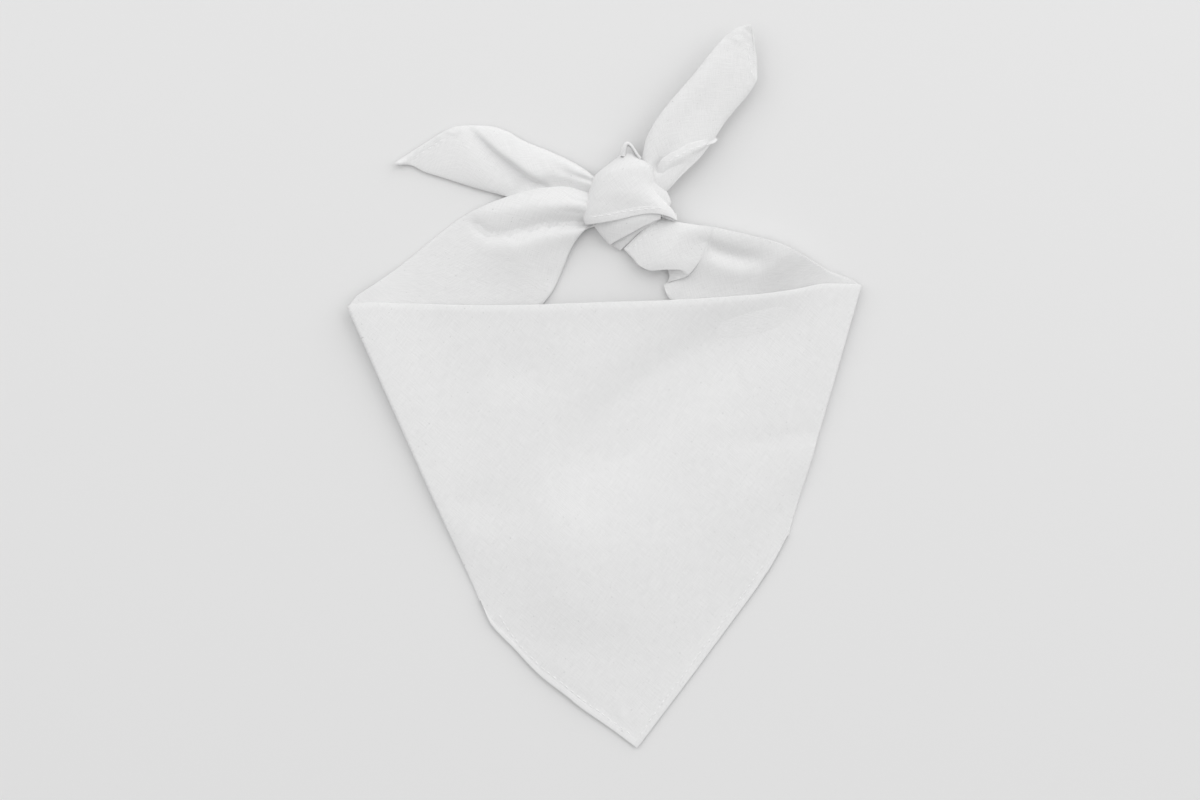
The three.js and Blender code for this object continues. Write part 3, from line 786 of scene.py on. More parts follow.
UPPER_WRAP_RELIEF = Relief([
    [(-1, 104.5, 0.2, 2.2, 4), (4, 107.6, 0.6, 2.2, 5), (10, 109.2, 0.6, 2.2, 5), (22, 109.2, 0.3, 2.2, 5)],
    [(2, 92, -0.5, 5, 6), (9, 90.5, -0.7, 5, 6), (18, 91.5, -0.5, 5, 6)],
    [(20, 104, -0.3, 2.5), (25, 98, -0.4, 2.5), (29, 91, -0.2, 2.5)],
])

# Sheets through lines of points, each point as x, y, z. The second wrap shows below the upper one's hem, the
# third below that, and a fold of the upper wrap at its right
SECOND_WRAP = [
    [
        (5, 73.4, 1), (2.5, 71.8, 4.8), (6.5, 74.1, 7.6), (12, 77, 9.4), (18.4, 80.5, 10.6),
        (24, 83.1, 11.2), (28, 85, 11.2),
    ],
    [
        (0.4, 78, 1), (-2.1, 76.8, 5), (3, 78.9, 9.4), (9, 81.1, 11.4), (16, 83.7, 12.4), (23, 85.7, 12),
        (28.5, 87, 11.4),
    ],
    [
        (-3.4, 82.4, 1), (-5.6, 81.5, 5.4), (0, 83.2, 10.2), (7, 85, 12.6), (15, 87.2, 13), (23, 89, 12.4),
        (29, 89.5, 11.4),
    ],
]
THIRD_WRAP = [
    [(9, 70.4, 1), (7.8, 69, 2.4), (12, 72.4, 4.2), (18, 77.4, 6), (24, 82, 7.4), (28, 84.4, 8)],
    [(6.4, 71.4, 1), (5.6, 70.4, 2.6), (9.8, 73.4, 5), (15.6, 77.8, 6.8), (22.6, 82, 8.4), (28, 85, 9)],
    [(4.6, 72.6, 1), (3.6, 71.8, 2.6), (8, 74.8, 5.4), (14, 78.6, 7), (21.4, 82.4, 8.6), (28, 86, 9.4)],
]
SIDE_FOLD = [
    [(24, 107, 2), (26, 103, 2), (28.6, 98.6, 2), (30.6, 94.4, 2), (31.6, 92.4, 2), (31, 91, 2)],
    [
        (25.9, 108.4, 7), (28.9, 102.8, 7.6), (31, 98.7, 7.6), (32.9, 94.4, 7.2), (33.4, 92.4, 6.6),
        (32.4, 90.6, 6),
    ],
    [
        (25, 107.4, 9.6), (27.6, 102.4, 10.2), (29.6, 98.4, 10.2), (31.4, 94.4, 9.8), (32.2, 92.4, 9),
        (32, 90.6, 8),
    ],
    [
        (20, 105.5, 10.6), (22.4, 101, 11.6), (24, 97.4, 11.6), (26, 94, 11.2), (28, 91.6, 10.2),
        (29.4, 90, 8.8),
    ],
]
# What the wraps are tied round, seen only from the sides
INNER_TURNS = table(WRAP_COLUMNS, [
    (7, 115.4, 0.6, 17, 114.8, 0.6, 1, 0),
    (5.6, 115, 2, 17.8, 114.2, 2, 6, 0),
    (4, 114, 3, 19, 113, 3, 9.6, 0),
    (-3, 106.4, 3, 26.6, 107.6, 3, 12, 0),
    (-6.6, 98, 3, 30.2, 99, 3, 13, 0),
    (-7.6, 90, 3, 31, 92, 3, 12.4, 0),
    (-5, 83.6, 3, 30, 87, 3, 10, 0),
    (4, 77, 2, 24, 84, 2, 6.4, 0),
    (5.6, 76, 0.6, 23, 82.6, 0.6, 1, 0),
])
# The small loop at the knot's top, along its rim: x, y, z and the width of the fold there
LOOP = [
    (9.1, 115.4, 13.6, 2.2), (9.4, 118.4, 14.6, 2.6), (10.2, 120.7, 15.2, 2.2), (11.5, 121.8, 15.4, 1.5),
    (13.1, 120.9, 15.3, 1.1), (14.7, 118.7, 15, 1.1), (16.2, 116.4, 14.4, 1.1), (18, 114.2, 12.6, 1),
]
LOOP_WALL = 6.5  # how deep the loop goes down
LOOP_PARTS = 30  # pieces along its rim
LOOP_ROUND = 8  # pieces round its fold
ROUNDNESS = 2.1  # 2 is an ellipse, and more is squarer
CURL_REACH = 0.75  # how far round a wrap's section curls under, in radians


def wrap_line(row, curl, count):
    """A wrap's section, over its crown and curled under at both outlines."""
    out = []
    for k in range(count + 1):
        angle = lerp(-CURL_REACH, math.pi + CURL_REACH, k / count)
        cos = math.copysign(abs(math.cos(angle)) ** (2 / ROUNDNESS), math.cos(angle))
        sin = math.copysign(abs(math.sin(angle)) ** (2 / ROUNDNESS), math.sin(angle))
        part = (1 - cos) / 2
        x = lerp(row["leftX"], row["rightX"], part)
        y = lerp(row["leftY"], row["rightY"], part) + row["bow"] * math.sin(math.pi * part * part)
        side = lerp(row["leftZ"], row["rightZ"], part)
        z = side + (row["crown"] - side) * sin if sin > 0 else side + curl * sin
        out.append(Vector((x, y, z)))
    return out


def wrap_lines(rows, pitch, count, curl):
    """A wrap's sections, from its first row to its last."""
    found = sections(Track(rows), "leftX leftY rightX rightY", "crown", pitch)
    return [wrap_line(row, curl, count) for _, row, _ in found]


HEM_STEP = 0.6  # over what width a hem's inner edge drops to the cloth
DIP_SHARE = 0.5  # how deep the stitches pull a hem in, as a share of its lift
DIP_AT = 2.8  # from the hem's edge to its stitches
DIP_WIDTH = 0.35
# Below the edge of a hem or a fold: how far in from the edge each line lies, and how far down
EDGE_TURN = ((-0.2, 0.12), (-0.25, 0.32), (0, 0.5), (0.8, 0.55), (3, 0.6))


def turned_edge(edge, toward):
    """Lines that turn an edge under and lead back inside it."""
    return [[p + toward * inset - Vector((0, 0, drop)) for p in edge] for inset, drop in EDGE_TURN]


def hem_plateau(inside):
    """How far a hem lifts its layer at a distance inside its edge, with the dip along its stitches."""
    dip = 1 - DIP_SHARE * math.exp(-((inside - DIP_AT) / DIP_WIDTH) ** 2)
    return HEM_RISE * smooth((HEM_WIDTH + HEM_STEP / 2 - inside) / HEM_STEP) * dip


UPPER_WRAP_INWARD = Vector((-0.03, 1, 0))  # from the upper wrap's hem towards its cloth


def upper_wrap(cloth):
    """The knot's upper wrap, with its hem and the puckers along it."""
    lines = wrap_lines(UPPER_WRAP, pitch=0.6, count=50, curl=4)
    edge = [p.copy() for p in lines[-1]]
    for line in lines:
        for p, at_edge in zip(line, edge):
            inside = math.hypot(p.x - at_edge.x, p.y - at_edge.y)
            p.z += UPPER_WRAP_RELIEF(p.x, p.y)[0] + hem_plateau(inside) + puckers("wrap", p.x, inside)
    lines += turned_edge(lines[-1], UPPER_WRAP_INWARD)
    cloth.lay(sheet_rows(lines))


def patch(cloth, lines, across, along, toward=None):
    """A sheet through lines of points, smooth both ways. toward turns the first line's edge under."""
    fine = [spaced(line, across) for line in lines]
    columns = [spaced([line[k] for line in fine], along) for k in range(across + 1)]
    rows = [[Vector(column[n]) for column in columns] for n in range(along + 1)]
    if toward:
        rows = turned_edge(rows[0], Vector(toward).normalized())[::-1] + rows
    cloth.lay(sheet_rows(rows))


def loop(cloth):
    """The small loop of cloth at the knot's top, a strip standing on edge and folded over at its rim."""
    path = spaced(LOOP, LOOP_PARTS)
    rows = []
    for k, (x, y, z, width) in enumerate(path):
        ahead, behind = path[min(k + 1, LOOP_PARTS)], path[max(k - 1, 0)]
        way = Vector((ahead[0] - behind[0], ahead[1] - behind[1], 0)).normalized()
        out = Vector((-way.y, way.x, 0))
        half = width / 2
        top = Vector((x, y, z - half))
        row = [top + out * half - Vector((0, 0, LOOP_WALL))]
        for n in range(LOOP_ROUND + 1):
            angle = math.pi * n / LOOP_ROUND
            row.append(top + out * half * math.cos(angle) + Vector((0, 0, half * math.sin(angle))))
        row.append(top - out * half - Vector((0, 0, LOOP_WALL)))
        rows.append(row)
    cloth.lay(sheet_rows(rows))


# The ends: each section runs from the folded edge to the open edge. lift is the folded edge's height, tilt
# how much higher the open edge stands, and dome how far the upper layer stands off the lower one
END_COLUMNS = "foldX foldY openX openY lift tilt dome"
LEFT_END = table(END_COLUMNS, [
    (-105.4, 113.2, -104.6, 111.6, 1.6, -0.4, 0.5),
    (-102, 115.5, -99.5, 112.2, 1.2, -0.2, 0.5),
    (-97, 118.8, -95.5, 111.2, 0.9, 0, 0.5),
    (-90.5, 122.9, -91.2, 108.8, 0.8, 0, 0.9),
    (-80.5, 129.2, -80, 105.2, 0.8, 0, 1.8),
    (-73.8, 131.6, -71.5, 102.5, 0.9, 0, 2.6),
    (-67, 132, -63.7, 100.1, 1, 0, 3.2),
    (-58, 131.6, -56, 98, 1.2, 0, 3.8),
    (-50, 129.4, -47.6, 96.1, 1.6, 0, 4.2),
    (-40.3, 124, -40, 97, 2, 0, 4.6),
    (-26.9, 118.5, -28, 97.5, 2.4, 0, 5),
    (-16.8, 113.8, -17.5, 97, 2.8, 0, 5.4),
    (-10.1, 109.8, -10, 96, 3.2, 0, 5.6),
    (-4, 105, -3, 94, 3.6, 0, 5),
])
LEFT_END_RELIEF = Relief([
    [
        (-68, 130, -0.3, 1.5, 3), (-64, 125.8, -1.4, 1.6, 5), (-57.5, 120, -2.4, 1.7, 6.5),
        (-51.5, 115, -3, 1.8, 7.5), (-46, 111, -3.4, 1.8, 8), (-40.7, 107, -3.6, 1.8, 8),
        (-30.8, 100.7, -3.6, 2, 7),
    ],
    [
        (-63, 129, 0.2, 4, 2.4, 0), (-55, 122, 0.9, 5, 2.4, -0.8), (-46, 115, 1.2, 5, 2.4, -1.1),
        (-34, 105.6, 1.2, 5, 2.4, -1.1),
    ],
    [(-48, 96.5, -0.4, 4), (-31, 100.5, -2.4, 5, 4), (-20, 101, -3.4, 5, 4), (-8, 98, -3.6, 4)],
    [(-26, 109, -0.05, 2), (-19, 107.5, -0.7, 1.8, 2), (-10, 104.6, -1.8, 1.4, 1.6), (-5, 103, -2, 1.2)],
    [(-27, 112.5, -0.1, 3), (-21, 109.5, -0.9, 3), (-16, 107, -0.1, 3)],
    [(-103.6, 112.4, 1.2, 1.6), (-101, 113.2, 0.6, 1.6)],
    [(-84, 126.6, 0.4, 1.2), (-80.5, 122.6, 0.1, 1.4)],
    [(-79.5, 129.4, 0.4, 0.9), (-75.5, 127.4, 0.35, 0.9), (-70, 130.8, 0.1, 0.9)],
])
RIGHT_END = table(END_COLUMNS, [
    (15, 106, 27, 95, 6, 0.5, 3),
    (18.7, 115.4, 31.4, 98.6, 7.5, 0.5, 3),
    (20.2, 122.8, 39.5, 107.3, 9, -0.5, 2.8),
    (23.9, 130.9, 47.6, 115, 10, -1.5, 2.6),
    (31.4, 141.5, 55.7, 125.9, 10.8, -2.5, 2.6),
    (38.9, 150.2, 60.5, 133.2, 11.2, -3, 2.6),
    (46.3, 158.9, 66.2, 140.2, 11.5, -3.4, 2.4),
    (56.3, 171.3, 73, 148.5, 11.6, -3.6, 2),
    (62.5, 177.5, 76.3, 155.5, 11.6, -3.6, 1.6),
    (67.5, 180.3, 76.1, 163, 11.6, -3.4, 1.2),
    (71, 181.2, 75.2, 170, 11.6, -2.6, 0.8),
    (73, 181.4, 74.1, 177.5, 11.5, -1, 0.3),
])
RIGHT_END_RELIEF = Relief([
    [(22, 118, 0.4, 3, 5), (27, 128, 0.7, 4, 5), (40, 144, 0.7, 4, 5), (56, 162, 0.4, 4, 5)],
    [(41, 129, -0.5, 7, 8), (49, 140, -0.9, 8, 9), (57, 150, -0.3, 7, 8)],
    [(26, 110, -1.6, 3), (32, 118.5, -1, 4), (38, 124, 0, 4)],
    [(60, 174.5, -0.5, 1.4), (66, 174, 0.5, 2), (70, 172, 0.1, 2)],
    [(64, 178, 0.4, 0.9), (67, 175.6, -0.4, 0.9)],
    [(68, 180, -0.5, 0.9), (70, 177, 0.4, 0.9), (71.4, 172, -0.3, 1)],
    [(71.5, 180.4, 0.5, 0.9), (73, 177, -0.4, 0.9)],
])
# The hemmed layer over the right end's lower part: its hem's edge, the hem's inner line, a crease, and the
# outline, each from the knot outwards
RIGHT_END_FLAP = [
    [
        (26.3, 107.4, 11), (27.1, 111.6, 12.7), (29, 114.1, 13.3), (32, 116.3, 13.3), (36.4, 118.6, 12.9),
        (41.4, 121.3, 12.4), (47.6, 123.1, 11.6), (53, 124.8, 10), (54.8, 126.4, 8.4),
    ],
    [
        (27.5, 105.4, 10.8), (29.6, 109.4, 12.4), (31.8, 111.6, 12.9), (34.6, 113.6, 13.2),
        (38.7, 115.9, 13), (43.3, 118.4, 12.5), (48.7, 120.5, 11.8), (52.8, 123.6, 9.8), (54.8, 126.1, 8.3),
    ],
    [
        (28.6, 103, 9.6), (31.6, 106.4, 10.6), (34, 108.6, 11), (37, 110.8, 11.3), (41.3, 113.8, 11.5),
        (45.2, 116.6, 11.2), (49.6, 119.6, 10.6), (52.8, 123, 9.4), (54.8, 125.7, 8.2),
    ],
    [
        (31.6, 98.8, 9), (35.8, 103.2, 9.8), (38.6, 106.3, 10), (41.2, 108.9, 10.1), (44.7, 112.2, 10),
        (47.8, 115.2, 9.6), (51, 120.3, 9.1), (53, 122.9, 8.7), (54.8, 125.2, 8.1),
    ],
]


DOME_POWER = 0.55  # how steeply an end's dome begins at its edges
END_SOFTNESS = 0.2  # how softly an end's upper layer comes to rest on the lower one
END_FOLD = 6  # pieces round an end's fold
FOLD_LIMIT = 0.3  # the largest share of an end's width that its fold takes


def end_line(row, side, relief, hem, along, under, over):
    """A section of a tied end: the under layer, the fold, and the domed upper layer with any hem."""
    start = Vector((row["foldX"], row["foldY"]))
    run = Vector((row["openX"], row["openY"])) - start
    width = run.length
    way = run.normalized()
    radius = PITCH / 2
    centre = min(radius * FOLD_SHARE + CLOTH / 2, width * FOLD_LIMIT)
    offset = side * LAYER_APART
    section = [(lerp(width, centre, k / under), -offset, 0) for k in range(under + 1)]
    for k in range(1, END_FOLD + 1):
        angle = -math.pi / 2 + math.pi * k / END_FOLD
        reach = radius + offset
        section.append((centre - reach * FOLD_SHARE * math.cos(angle), radius + reach * math.sin(angle), 0))
    section += [(lerp(centre, width, k / over), PITCH + offset, 1) for k in range(1, over + 1)]
    out = []
    for s, level, upper in section:
        part = clamp(s / width)
        place = start + way * s
        z = row["lift"] + row["tilt"] * part + CLOTH / 2 + level
        if upper:
            rise, lean_x, lean_y = relief(place.x, place.y)
            stand = row["dome"] * (4 * part * (1 - part)) ** DOME_POWER + rise
            to_edge = s if hem < 0 else width - s
            stand += abs(hem) * (hem_plateau(to_edge) + puckers("end", along, to_edge))
            z += above_floor(stand, END_SOFTNESS)
            place += Vector((lean_x, lean_y))
        out.append(Vector((place.x, place.y, z)))
    return out


def end(cloth, rows, side, relief, hems, pitch, under, over):
    """A tied end. hems gives, for the row numbers, the hem's share: below zero at the folded edge."""
    hem = Curve(*zip(*hems))
    found = sections(Track(rows), "foldX foldY openX openY", "lift", pitch)
    lines = [end_line(row, side, relief, hem(n), along, under, over) for n, row, along in found]
    cloth.lay(sheet_rows(lines))


# Materials


# Rates are higher for finer marks, and shades are shares of the plain colour
SLUB_RATE = 22
SLUB_STRETCH = 0.06  # the rate of the slubs along a thread, as a share of that across it
FLECK_RATE = 16
SPECK_RATE = 9
THREAD_RATE = 6.5  # of the weave's waves
COTTON_SHADE = 0.86
SPECK_SHADE = 0.8
THREAD_SHADE = 0.9
FLOOR_SHADE = 0.985
TWIST_RATE = 2600  # of the sewing thread's twist
GRAIN_RATE = 900  # of the surface's unevenness


class Paint:
    """A material with one Principled shader, and short ways to add nodes to it."""

    def __init__(self, name, look):
        self.material = bpy.data.materials.new(name)
        self.material.use_nodes = True
        self.tree = self.material.node_tree
        self.tree.nodes.clear()
        self.shader = self.add("ShaderNodeBsdfPrincipled", look)
        self.add("ShaderNodeOutputMaterial", {"Surface": self.shader.outputs["BSDF"]})

    def add(self, kind, inputs, **choices):
        """A node. Each input is a value or another node's output."""
        node = self.tree.nodes.new(kind)
        for name, value in choices.items():
            setattr(node, name, value)
        self.feed(node, inputs)
        return node

    def feed(self, node, inputs):
        for name, value in inputs.items():
            if isinstance(value, bpy.types.NodeSocket):
                self.tree.links.new(value, node.inputs[name])
            else:
                node.inputs[name].default_value = value

    def noise(self, vector, scale, detail=2.0):
        inputs = {"Vector": vector, "Scale": scale, "Detail": detail}
        return self.add("ShaderNodeTexNoise", inputs).outputs["Fac"]

    def ramp(self, value, colours, places=(0, 1)):
        node = self.add("ShaderNodeValToRGB", {"Fac": value})
        for element, colour, place in zip(node.color_ramp.elements, colours, places):
            element.position = place
            element.color = (*colour, 1)
        return node.outputs["Color"]

    def bump(self, height, strength, distance):
        node = self.add("ShaderNodeBump", {"Height": height, "Strength": strength, "Distance": distance})
        self.feed(self.shader, {"Normal": node.outputs["Normal"]})

    def speckle(self, rate, colour, shade):
        """Colours the material unevenly, from a darker shade to the colour itself."""
        grain = self.noise(self.add("ShaderNodeTexCoord", {}).outputs["Object"], rate)
        self.feed(self.shader, {"Base Color": self.ramp(grain, ([c * shade for c in colour], colour))})
        return grain


def make_cotton(chosen):
    """Plain woven cotton: threads both ways, with slubs and small flecks."""
    look = {"Roughness": 0.92, "Specular IOR Level": 0.25, "Sheen Weight": 0.12, "Sheen Roughness": 0.6}
    cotton = Paint("cotton", look)
    threads = cotton.add("ShaderNodeUVMap", {}, uv_map="threads").outputs["UV"]

    def mapped(x, y, z, turn=0):
        inputs = {"Vector": threads, "Rotation": (0, 0, turn), "Scale": (x, y, z)}
        return cotton.add("ShaderNodeMapping", inputs).outputs["Vector"]

    def combine(operation, a, b):
        return cotton.add("ShaderNodeMath", {0: a, 1: b}, operation=operation).outputs["Value"]

    def wave(vector):
        inputs = {"Vector": vector, "Scale": THREAD_RATE, "Distortion": 0.6, "Detail": 1.0}
        return cotton.add("ShaderNodeTexWave", inputs).outputs["Fac"]

    # One unit of the map is 10 mm of cloth
    warp = cotton.noise(mapped(1, SLUB_STRETCH, 1), SLUB_RATE)
    weft = cotton.noise(mapped(SLUB_STRETCH, 1, 1), SLUB_RATE)
    slubs = combine("ADD", warp, weft)
    flecks = cotton.noise(mapped(1, 1, 1), FLECK_RATE, 1.0)
    weave = combine("MULTIPLY", wave(mapped(1, 0, 0)), wave(mapped(1, 1, 1, math.pi / 2)))
    height = combine("ADD", combine("MULTIPLY", weave, 0.6), combine("MULTIPLY", slubs, 0.9))
    cotton.bump(height, strength=0.55, distance=0.00018)
    tone = combine("ADD", combine("MULTIPLY", slubs, 0.5), combine("MULTIPLY", flecks, 0.25))
    colour = cotton.ramp(tone, ([c * COTTON_SHADE for c in chosen.colour], chosen.colour), (0.35, 0.9))
    specks = cotton.noise(mapped(1, 1, 1), SPECK_RATE, 0.0)
    specks = cotton.ramp(specks, ([1] * 3, [SPECK_SHADE] * 3), (0.81, 0.86))
    inputs = {"Factor": 1, "A": colour, "B": specks}
    mix = cotton.add("ShaderNodeMix", inputs, data_type="RGBA", blend_type="MULTIPLY")
    cotton.feed(cotton.shader, {"Base Color": mix.outputs["Result"]})
    return cotton.material


def make_thread(chosen):
    """Two-ply sewing thread, with its twist."""
    thread = Paint("sewing_thread", {"Roughness": 0.6})
    thread.bump(thread.speckle(TWIST_RATE, chosen.colour, THREAD_SHADE), strength=0.4, distance=0.00005)
    return thread.material


def make_floor(chosen):
    """A plain pale surface, very slightly uneven in tone."""
    floor = Paint("pale_surface", {"Roughness": 0.8, "Specular IOR Level": 0.2})
    floor.speckle(GRAIN_RATE, chosen.floor_colour, FLOOR_SHADE)
    return floor.material


# Settings


def number(name, description, default, unit="LENGTH"):
    return bpy.props.FloatProperty(name=name, description=description, default=default, unit=unit)


def tint(name, description, default):
    return bpy.props.FloatVectorProperty(name=name, description=description, default=default, subtype="COLOR")


class ClothSettings(bpy.types.PropertyGroup):
    """Sizes and colour of the cloth."""

    side: number("Side", "Side of the square cloth, opened out", 0.559)
    layer: number("Layer", "Thickness of one layer of the cloth", 0.0002)
    colour: tint("Cotton", "Colour of the cotton", (0.9, 0.9, 0.9))


class ThreadSettings(bpy.types.PropertyGroup):
    """Sizes and colour of the stitching."""

    pitch: number("Stitch pitch", "From one stitch to the next", 0.0038)
    length: number("Stitch length", "Length of one stitch that shows", 0.0026)
    thickness: number("Thread thickness", "Thickness of the sewing thread", 0.00052)
    colour: tint("Thread", "Colour of the thread", (0.97, 0.97, 0.97))


class StageSettings(bpy.types.PropertyGroup):
    """The surface, the light and the camera."""

    floor_colour: tint("Surface", "Colour of the surface", (0.81, 0.81, 0.81))
    key: number("Left softbox", "Power of the soft light on the left", 21, "POWER")
    fill: number("Right softbox", "Power of the soft light on the right", 30.5, "POWER")
    lamp_distance: number("Softbox distance", "From the cloth to the softboxes", 2.4)
    sky: number("Room light", "Strength of the even light from all round", 0.57, "NONE")
    distance: number("Camera height", "Height of the camera", 1.6)


def settings(name):
    return getattr(bpy.context.scene, name)


def select_only(piece):
    bpy.ops.object.select_all(action="DESELECT")
    piece.select_set(True)
    bpy.context.view_layer.objects.active = piece


def new_piece(name, mesh, material):
    piece = bpy.data.objects.new(name, mesh)
    bpy.context.scene.collection.objects.link(piece)
    piece.data.materials.append(material)
    return piece


# Which rows of an end have a hem: row number, and 1 for one at the open edge or -1 at the folded edge
LEFT_HEMS = ((0, -1), (4.6, -1), (6, 0), (13, 0))
RIGHT_HEMS = ((0, 0), (6.4, 0), (7.4, 1), (11, 1))
SMOOTH_BELOW = 50  # degrees between faces


class BANDANA_OT_cloth(bpy.types.Operator):
    """Makes the one square of cloth, folded, banded and tied"""

    bl_idname = "bandana.cloth"
    bl_label = "Cloth"

    def execute(self, context):
        cloth = Cloth()
        band(cloth, 1)
        band(cloth, -1)
        upper_wrap(cloth)
        loop(cloth)
        cloth.lay(sheet_rows(wrap_lines(INNER_TURNS, pitch=3, count=20, curl=2.6)))
        patch(cloth, SECOND_WRAP, across=32, along=12, toward=(-0.5, 1, 0))
        patch(cloth, THIRD_WRAP, across=16, along=6)
        patch(cloth, SIDE_FOLD, across=18, along=10)
        patch(cloth, RIGHT_END_FLAP, across=44, along=20, toward=(0.6, -0.8, 0))
        for rows, relief, hems, upper, lower in (
            (LEFT_END, LEFT_END_RELIEF, LEFT_HEMS, 40, 16),
            (RIGHT_END, RIGHT_END_RELIEF, RIGHT_HEMS, 34, 14),
        ):
            end(cloth, rows, 1, relief, hems, pitch=1.2, under=6, over=upper)
            end(cloth, rows, -1, relief, hems, pitch=3, under=5, over=lower)
        chosen = settings("bandana_cloth")
        piece = new_piece("bandana_cloth", cloth.mesh("bandana_cloth"), make_cotton(chosen))
        select_only(piece)
        thick = piece.modifiers.new("layer", "SOLIDIFY")
        thick.thickness = chosen.layer
        thick.offset = 0
        bpy.ops.object.modifier_apply(modifier="layer")
        bpy.ops.object.shade_smooth_by_angle(angle=math.radians(SMOOTH_BELOW))
        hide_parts("bandana")
        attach(piece, "root")
        return {"FINISHED"}


# Lines of stitches, seen from above: on the hems of the front's left side, the upper wrap, the left end, the
# right end's hemmed layer, the third wrap, the right end and the front's right side
STITCH_LINES = [
    [
        (-54, -112.5), (-44.5, -127.2), (-31.2, -140.8), (-20, -149.6), (-10.3, -157.5), (2.6, -166.6),
        (15.5, -176.3),
    ],
    [(-8.5, 84.6), (3, 86.4), (14.3, 88.3), (20.5, 89.4), (30.9, 89.6)],
    [(-97.2, 114.3), (-88.9, 119.7), (-80.5, 124.9), (-74, 128.6)],
    [(30.4, 111.4), (34, 114.1), (38.4, 116.4), (43, 118.9), (48.4, 120.9), (53.4, 123.2)],
    [(12.4, 68.6), (17, 73), (21.7, 77.4), (27, 81.8)],
    [(71, 172), (72.2, 165), (73.2, 158.5), (74, 152.7)],
    [(16.8, -176.4), (26.6, -161.8), (38.6, -145.8), (50, -130.4), (61.6, -114.8), (72.4, -100), (82, -85.6)],
]
STITCH_LONG = (0.85, 1.1)  # a stitch's length and the space between two, as shares of the set ones
STITCH_APART = (0.94, 1.06)
STITCH_ASIDE = 0.12  # how far a stitch's end strays from the line
ABOVE_ALL = 0.05  # a height in metres that is above the whole cloth
THREAD_SIDES = 6
# The rings of a stitch: how far along it, half width and height, both as shares of the thread's radius
STITCH_RINGS = ((0, 0.25, -0.7), (0.12, 0.8, -0.15), (0.5, 1, 0.25), (0.88, 0.8, -0.15), (1, 0.25, -0.7))


class BANDANA_OT_stitches(bpy.types.Operator):
    """Makes the hem's stitches, laid on the cloth"""

    bl_idname = "bandana.stitches"
    bl_label = "Stitches"

    def execute(self, context):
        thread = settings("bandana_thread")
        cloth = bpy.data.objects["bandana_cloth"]
        tree = BVHTree.FromObject(cloth, context.evaluated_depsgraph_get())
        points, faces = [], []
        rng = random.Random(7)
        for line in STITCH_LINES:
            self.sew(line, thread, tree, points, faces, rng)
        mesh = bpy.data.meshes.new("hem_stitches")
        mesh.from_pydata(points, [], faces)
        piece = new_piece("hem_stitches", mesh, make_thread(thread))
        select_only(piece)
        bpy.ops.object.shade_smooth()
        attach(piece, "root")
        side = settings("bandana_cloth").side
        return {"FINISHED"}

    def sew(self, line, thread, tree, points, faces, rng):
        """Adds one line of stitches."""
        reach = lengths(line)
        where_x, where_y = [Curve(reach, column) for column in zip(*line)]
        pitch = thread.pitch / MM
        start = pitch / 2
        while start + pitch < reach[-1]:
            long = thread.length / MM * rng.uniform(*STITCH_LONG)
            ends = []
            for at in (start, start + long):
                side = rng.uniform(-STITCH_ASIDE, STITCH_ASIDE)
                x, y = where_x(at) + side, where_y(at) + side
                top = Vector(((x + MIDDLE[0]) * MM, (y + MIDDLE[1]) * MM, ABOVE_ALL))
                hit = tree.ray_cast(top, Vector((0, 0, -1)))[0]
                if hit:
                    ends.append(hit)
            if len(ends) == 2:
                self.stitch(ends[0], ends[1], thread.thickness / 2, points, faces)
            start += pitch * rng.uniform(*STITCH_APART)

    def stitch(self, a, b, radius, points, faces):
        """Adds one stitch from a to b, thickest halfway and sunk in at both ends."""
        way = (b - a).normalized()
        side = way.cross(Vector((0, 0, 1))).normalized()
        up = side.cross(way)
        first = len(points)
        for along, wide, high in STITCH_RINGS:
            for k in range(THREAD_SIDES):
                angle = 2 * math.pi * k / THREAD_SIDES
                swing = side * math.cos(angle) + up * math.sin(angle)
                points.append(a.lerp(b, along) + up * radius * high + swing * radius * wide)
        last = first + (len(STITCH_RINGS) - 1) * THREAD_SIDES
        for ring in range(first, last, THREAD_SIDES):
            for k in range(THREAD_SIDES):
                p, q = ring + k, ring + (k + 1) % THREAD_SIDES
                faces.append((p, p + THREAD_SIDES, q + THREAD_SIDES, q))
        faces.append(tuple(first + k for k in range(THREAD_SIDES)))
        faces.append(tuple(last + k for k in reversed(range(THREAD_SIDES))))


# The softboxes: the setting with the power, and azimuth and elevation in degrees. Other sizes are in metres
SOFTBOXES = (("softbox_left", "key", 136, 50), ("softbox_right", "fill", 40, 32))
SOFTBOX_SIZE = 3
FLOOR_SIZE = 6
SENSOR = 36  # width of the camera's sensor in millimetres
FRAMED = 0.6  # width of the picture, at the height FOCUS
FOCUS = 0.01
LOOKING_AT = (-0.00225, -0.00625)  # the middle of the picture
FARTHEST = 20  # the camera sees no further


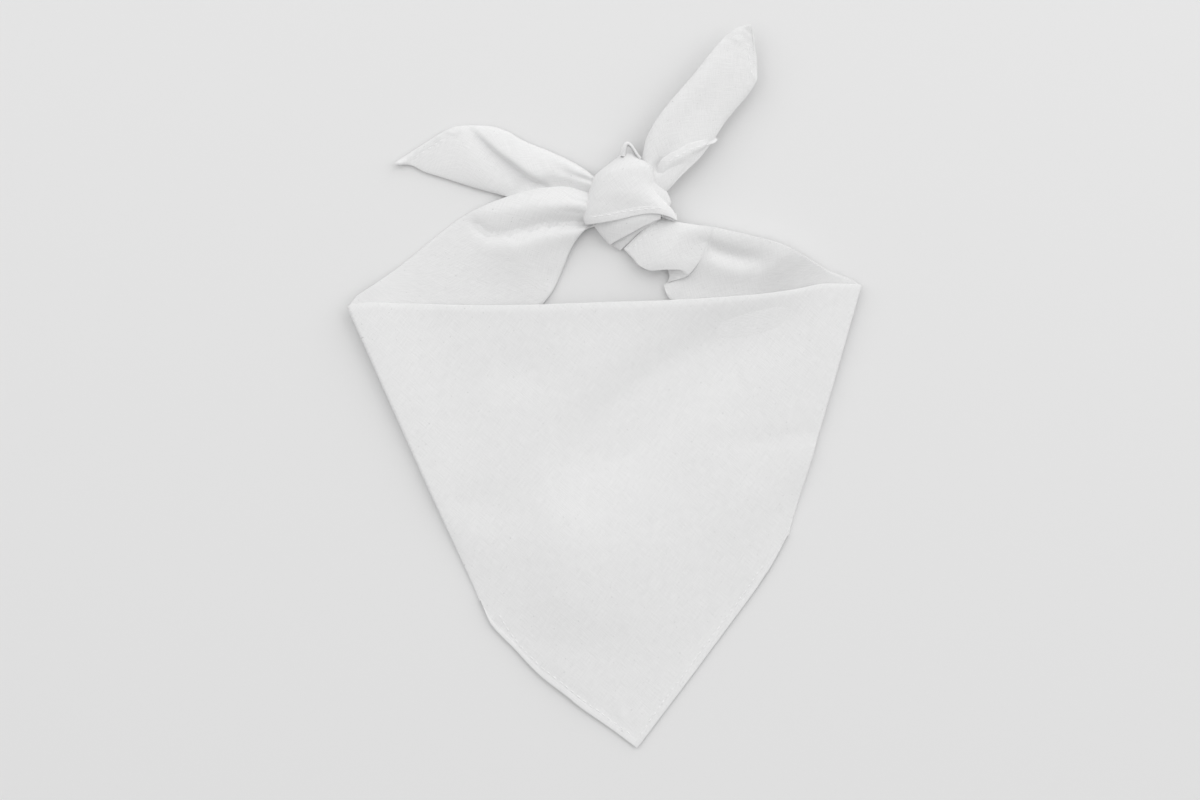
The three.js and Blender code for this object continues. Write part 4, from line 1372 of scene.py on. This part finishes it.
class BANDANA_OT_stage(bpy.types.Operator):
    """Makes the pale surface, the soft light and the camera"""

    bl_idname = "bandana.stage"
    bl_label = "Stage"

    def execute(self, context):
        stage = settings("bandana_stage")
        bpy.ops.object.select_all(action="DESELECT")
        bpy.ops.mesh.primitive_plane_add(size=FLOOR_SIZE)
        floor = context.active_object
        floor.name = "surface"
        floor.data.materials.append(make_floor(stage))
        world = bpy.data.worlds.new("room")
        context.scene.world = world
        world.use_nodes = True
        background = world.node_tree.nodes["Background"]
        background.inputs["Color"].default_value = (1, 1, 1, 1)
        background.inputs["Strength"].default_value = stage.sky
        for name, power, azimuth, elevation in SOFTBOXES:
            lamp = bpy.data.lights.new(name, "AREA")
            lamp.energy = getattr(stage, power)
            lamp.size = SOFTBOX_SIZE
            light = bpy.data.objects.new(name, lamp)
            context.scene.collection.objects.link(light)
            way = Euler((0, math.radians(-elevation), math.radians(azimuth))).to_matrix() @ Vector((1, 0, 0))
            light.location = way * stage.lamp_distance
            light.rotation_mode = "QUATERNION"
            light.rotation_quaternion = (-light.location).to_track_quat("-Z", "Y")
        camera = bpy.data.cameras.new("camera")
        camera.sensor_width = SENSOR
        camera.lens = SENSOR * stage.distance / FRAMED
        camera.clip_end = FARTHEST
        seen = bpy.data.objects.new("camera", camera)
        context.scene.collection.objects.link(seen)
        seen.location = (*LOOKING_AT, stage.distance + FOCUS)
        context.scene.camera = seen
        context.scene.view_settings.view_transform = "Standard"
        return {"FINISHED"}


class BANDANA_PT_panel(bpy.types.Panel):
    """Lists the pieces and their settings"""

    bl_idname = "BANDANA_PT_panel"
    bl_label = "Bandana"
    bl_space_type = "VIEW_3D"
    bl_region_type = "UI"
    bl_category = "Bandana"

    def draw(self, context):
        for operator, group in STEPS:
            box = self.layout.box()
            box.operator(operator.bl_idname)
            held = getattr(context.scene, group)
            for name in held.__annotations__:
                box.prop(held, name)


STEPS = (
    (BANDANA_OT_cloth, "bandana_cloth"),
    (BANDANA_OT_stitches, "bandana_thread"),
    (BANDANA_OT_stage, "bandana_stage"),
)
GROUPS = {
    "bandana_cloth": ClothSettings,
    "bandana_thread": ThreadSettings,
    "bandana_stage": StageSettings,
}
CLASSES = (*GROUPS.values(), *[operator for operator, _ in STEPS], BANDANA_PT_panel)


def register():
    for item in CLASSES:
        bpy.utils.register_class(item)
    for name, group in GROUPS.items():
        setattr(bpy.types.Scene, name, bpy.props.PointerProperty(type=group))


def unregister():
    for name in GROUPS:
        delattr(bpy.types.Scene, name)
    for item in reversed(CLASSES):
        bpy.utils.unregister_class(item)


def main():
    register()
    bpy.ops.bandana.cloth()
    bpy.ops.bandana.stitches()
    bpy.ops.bandana.stage()


if __name__ == "__main__":
    main()
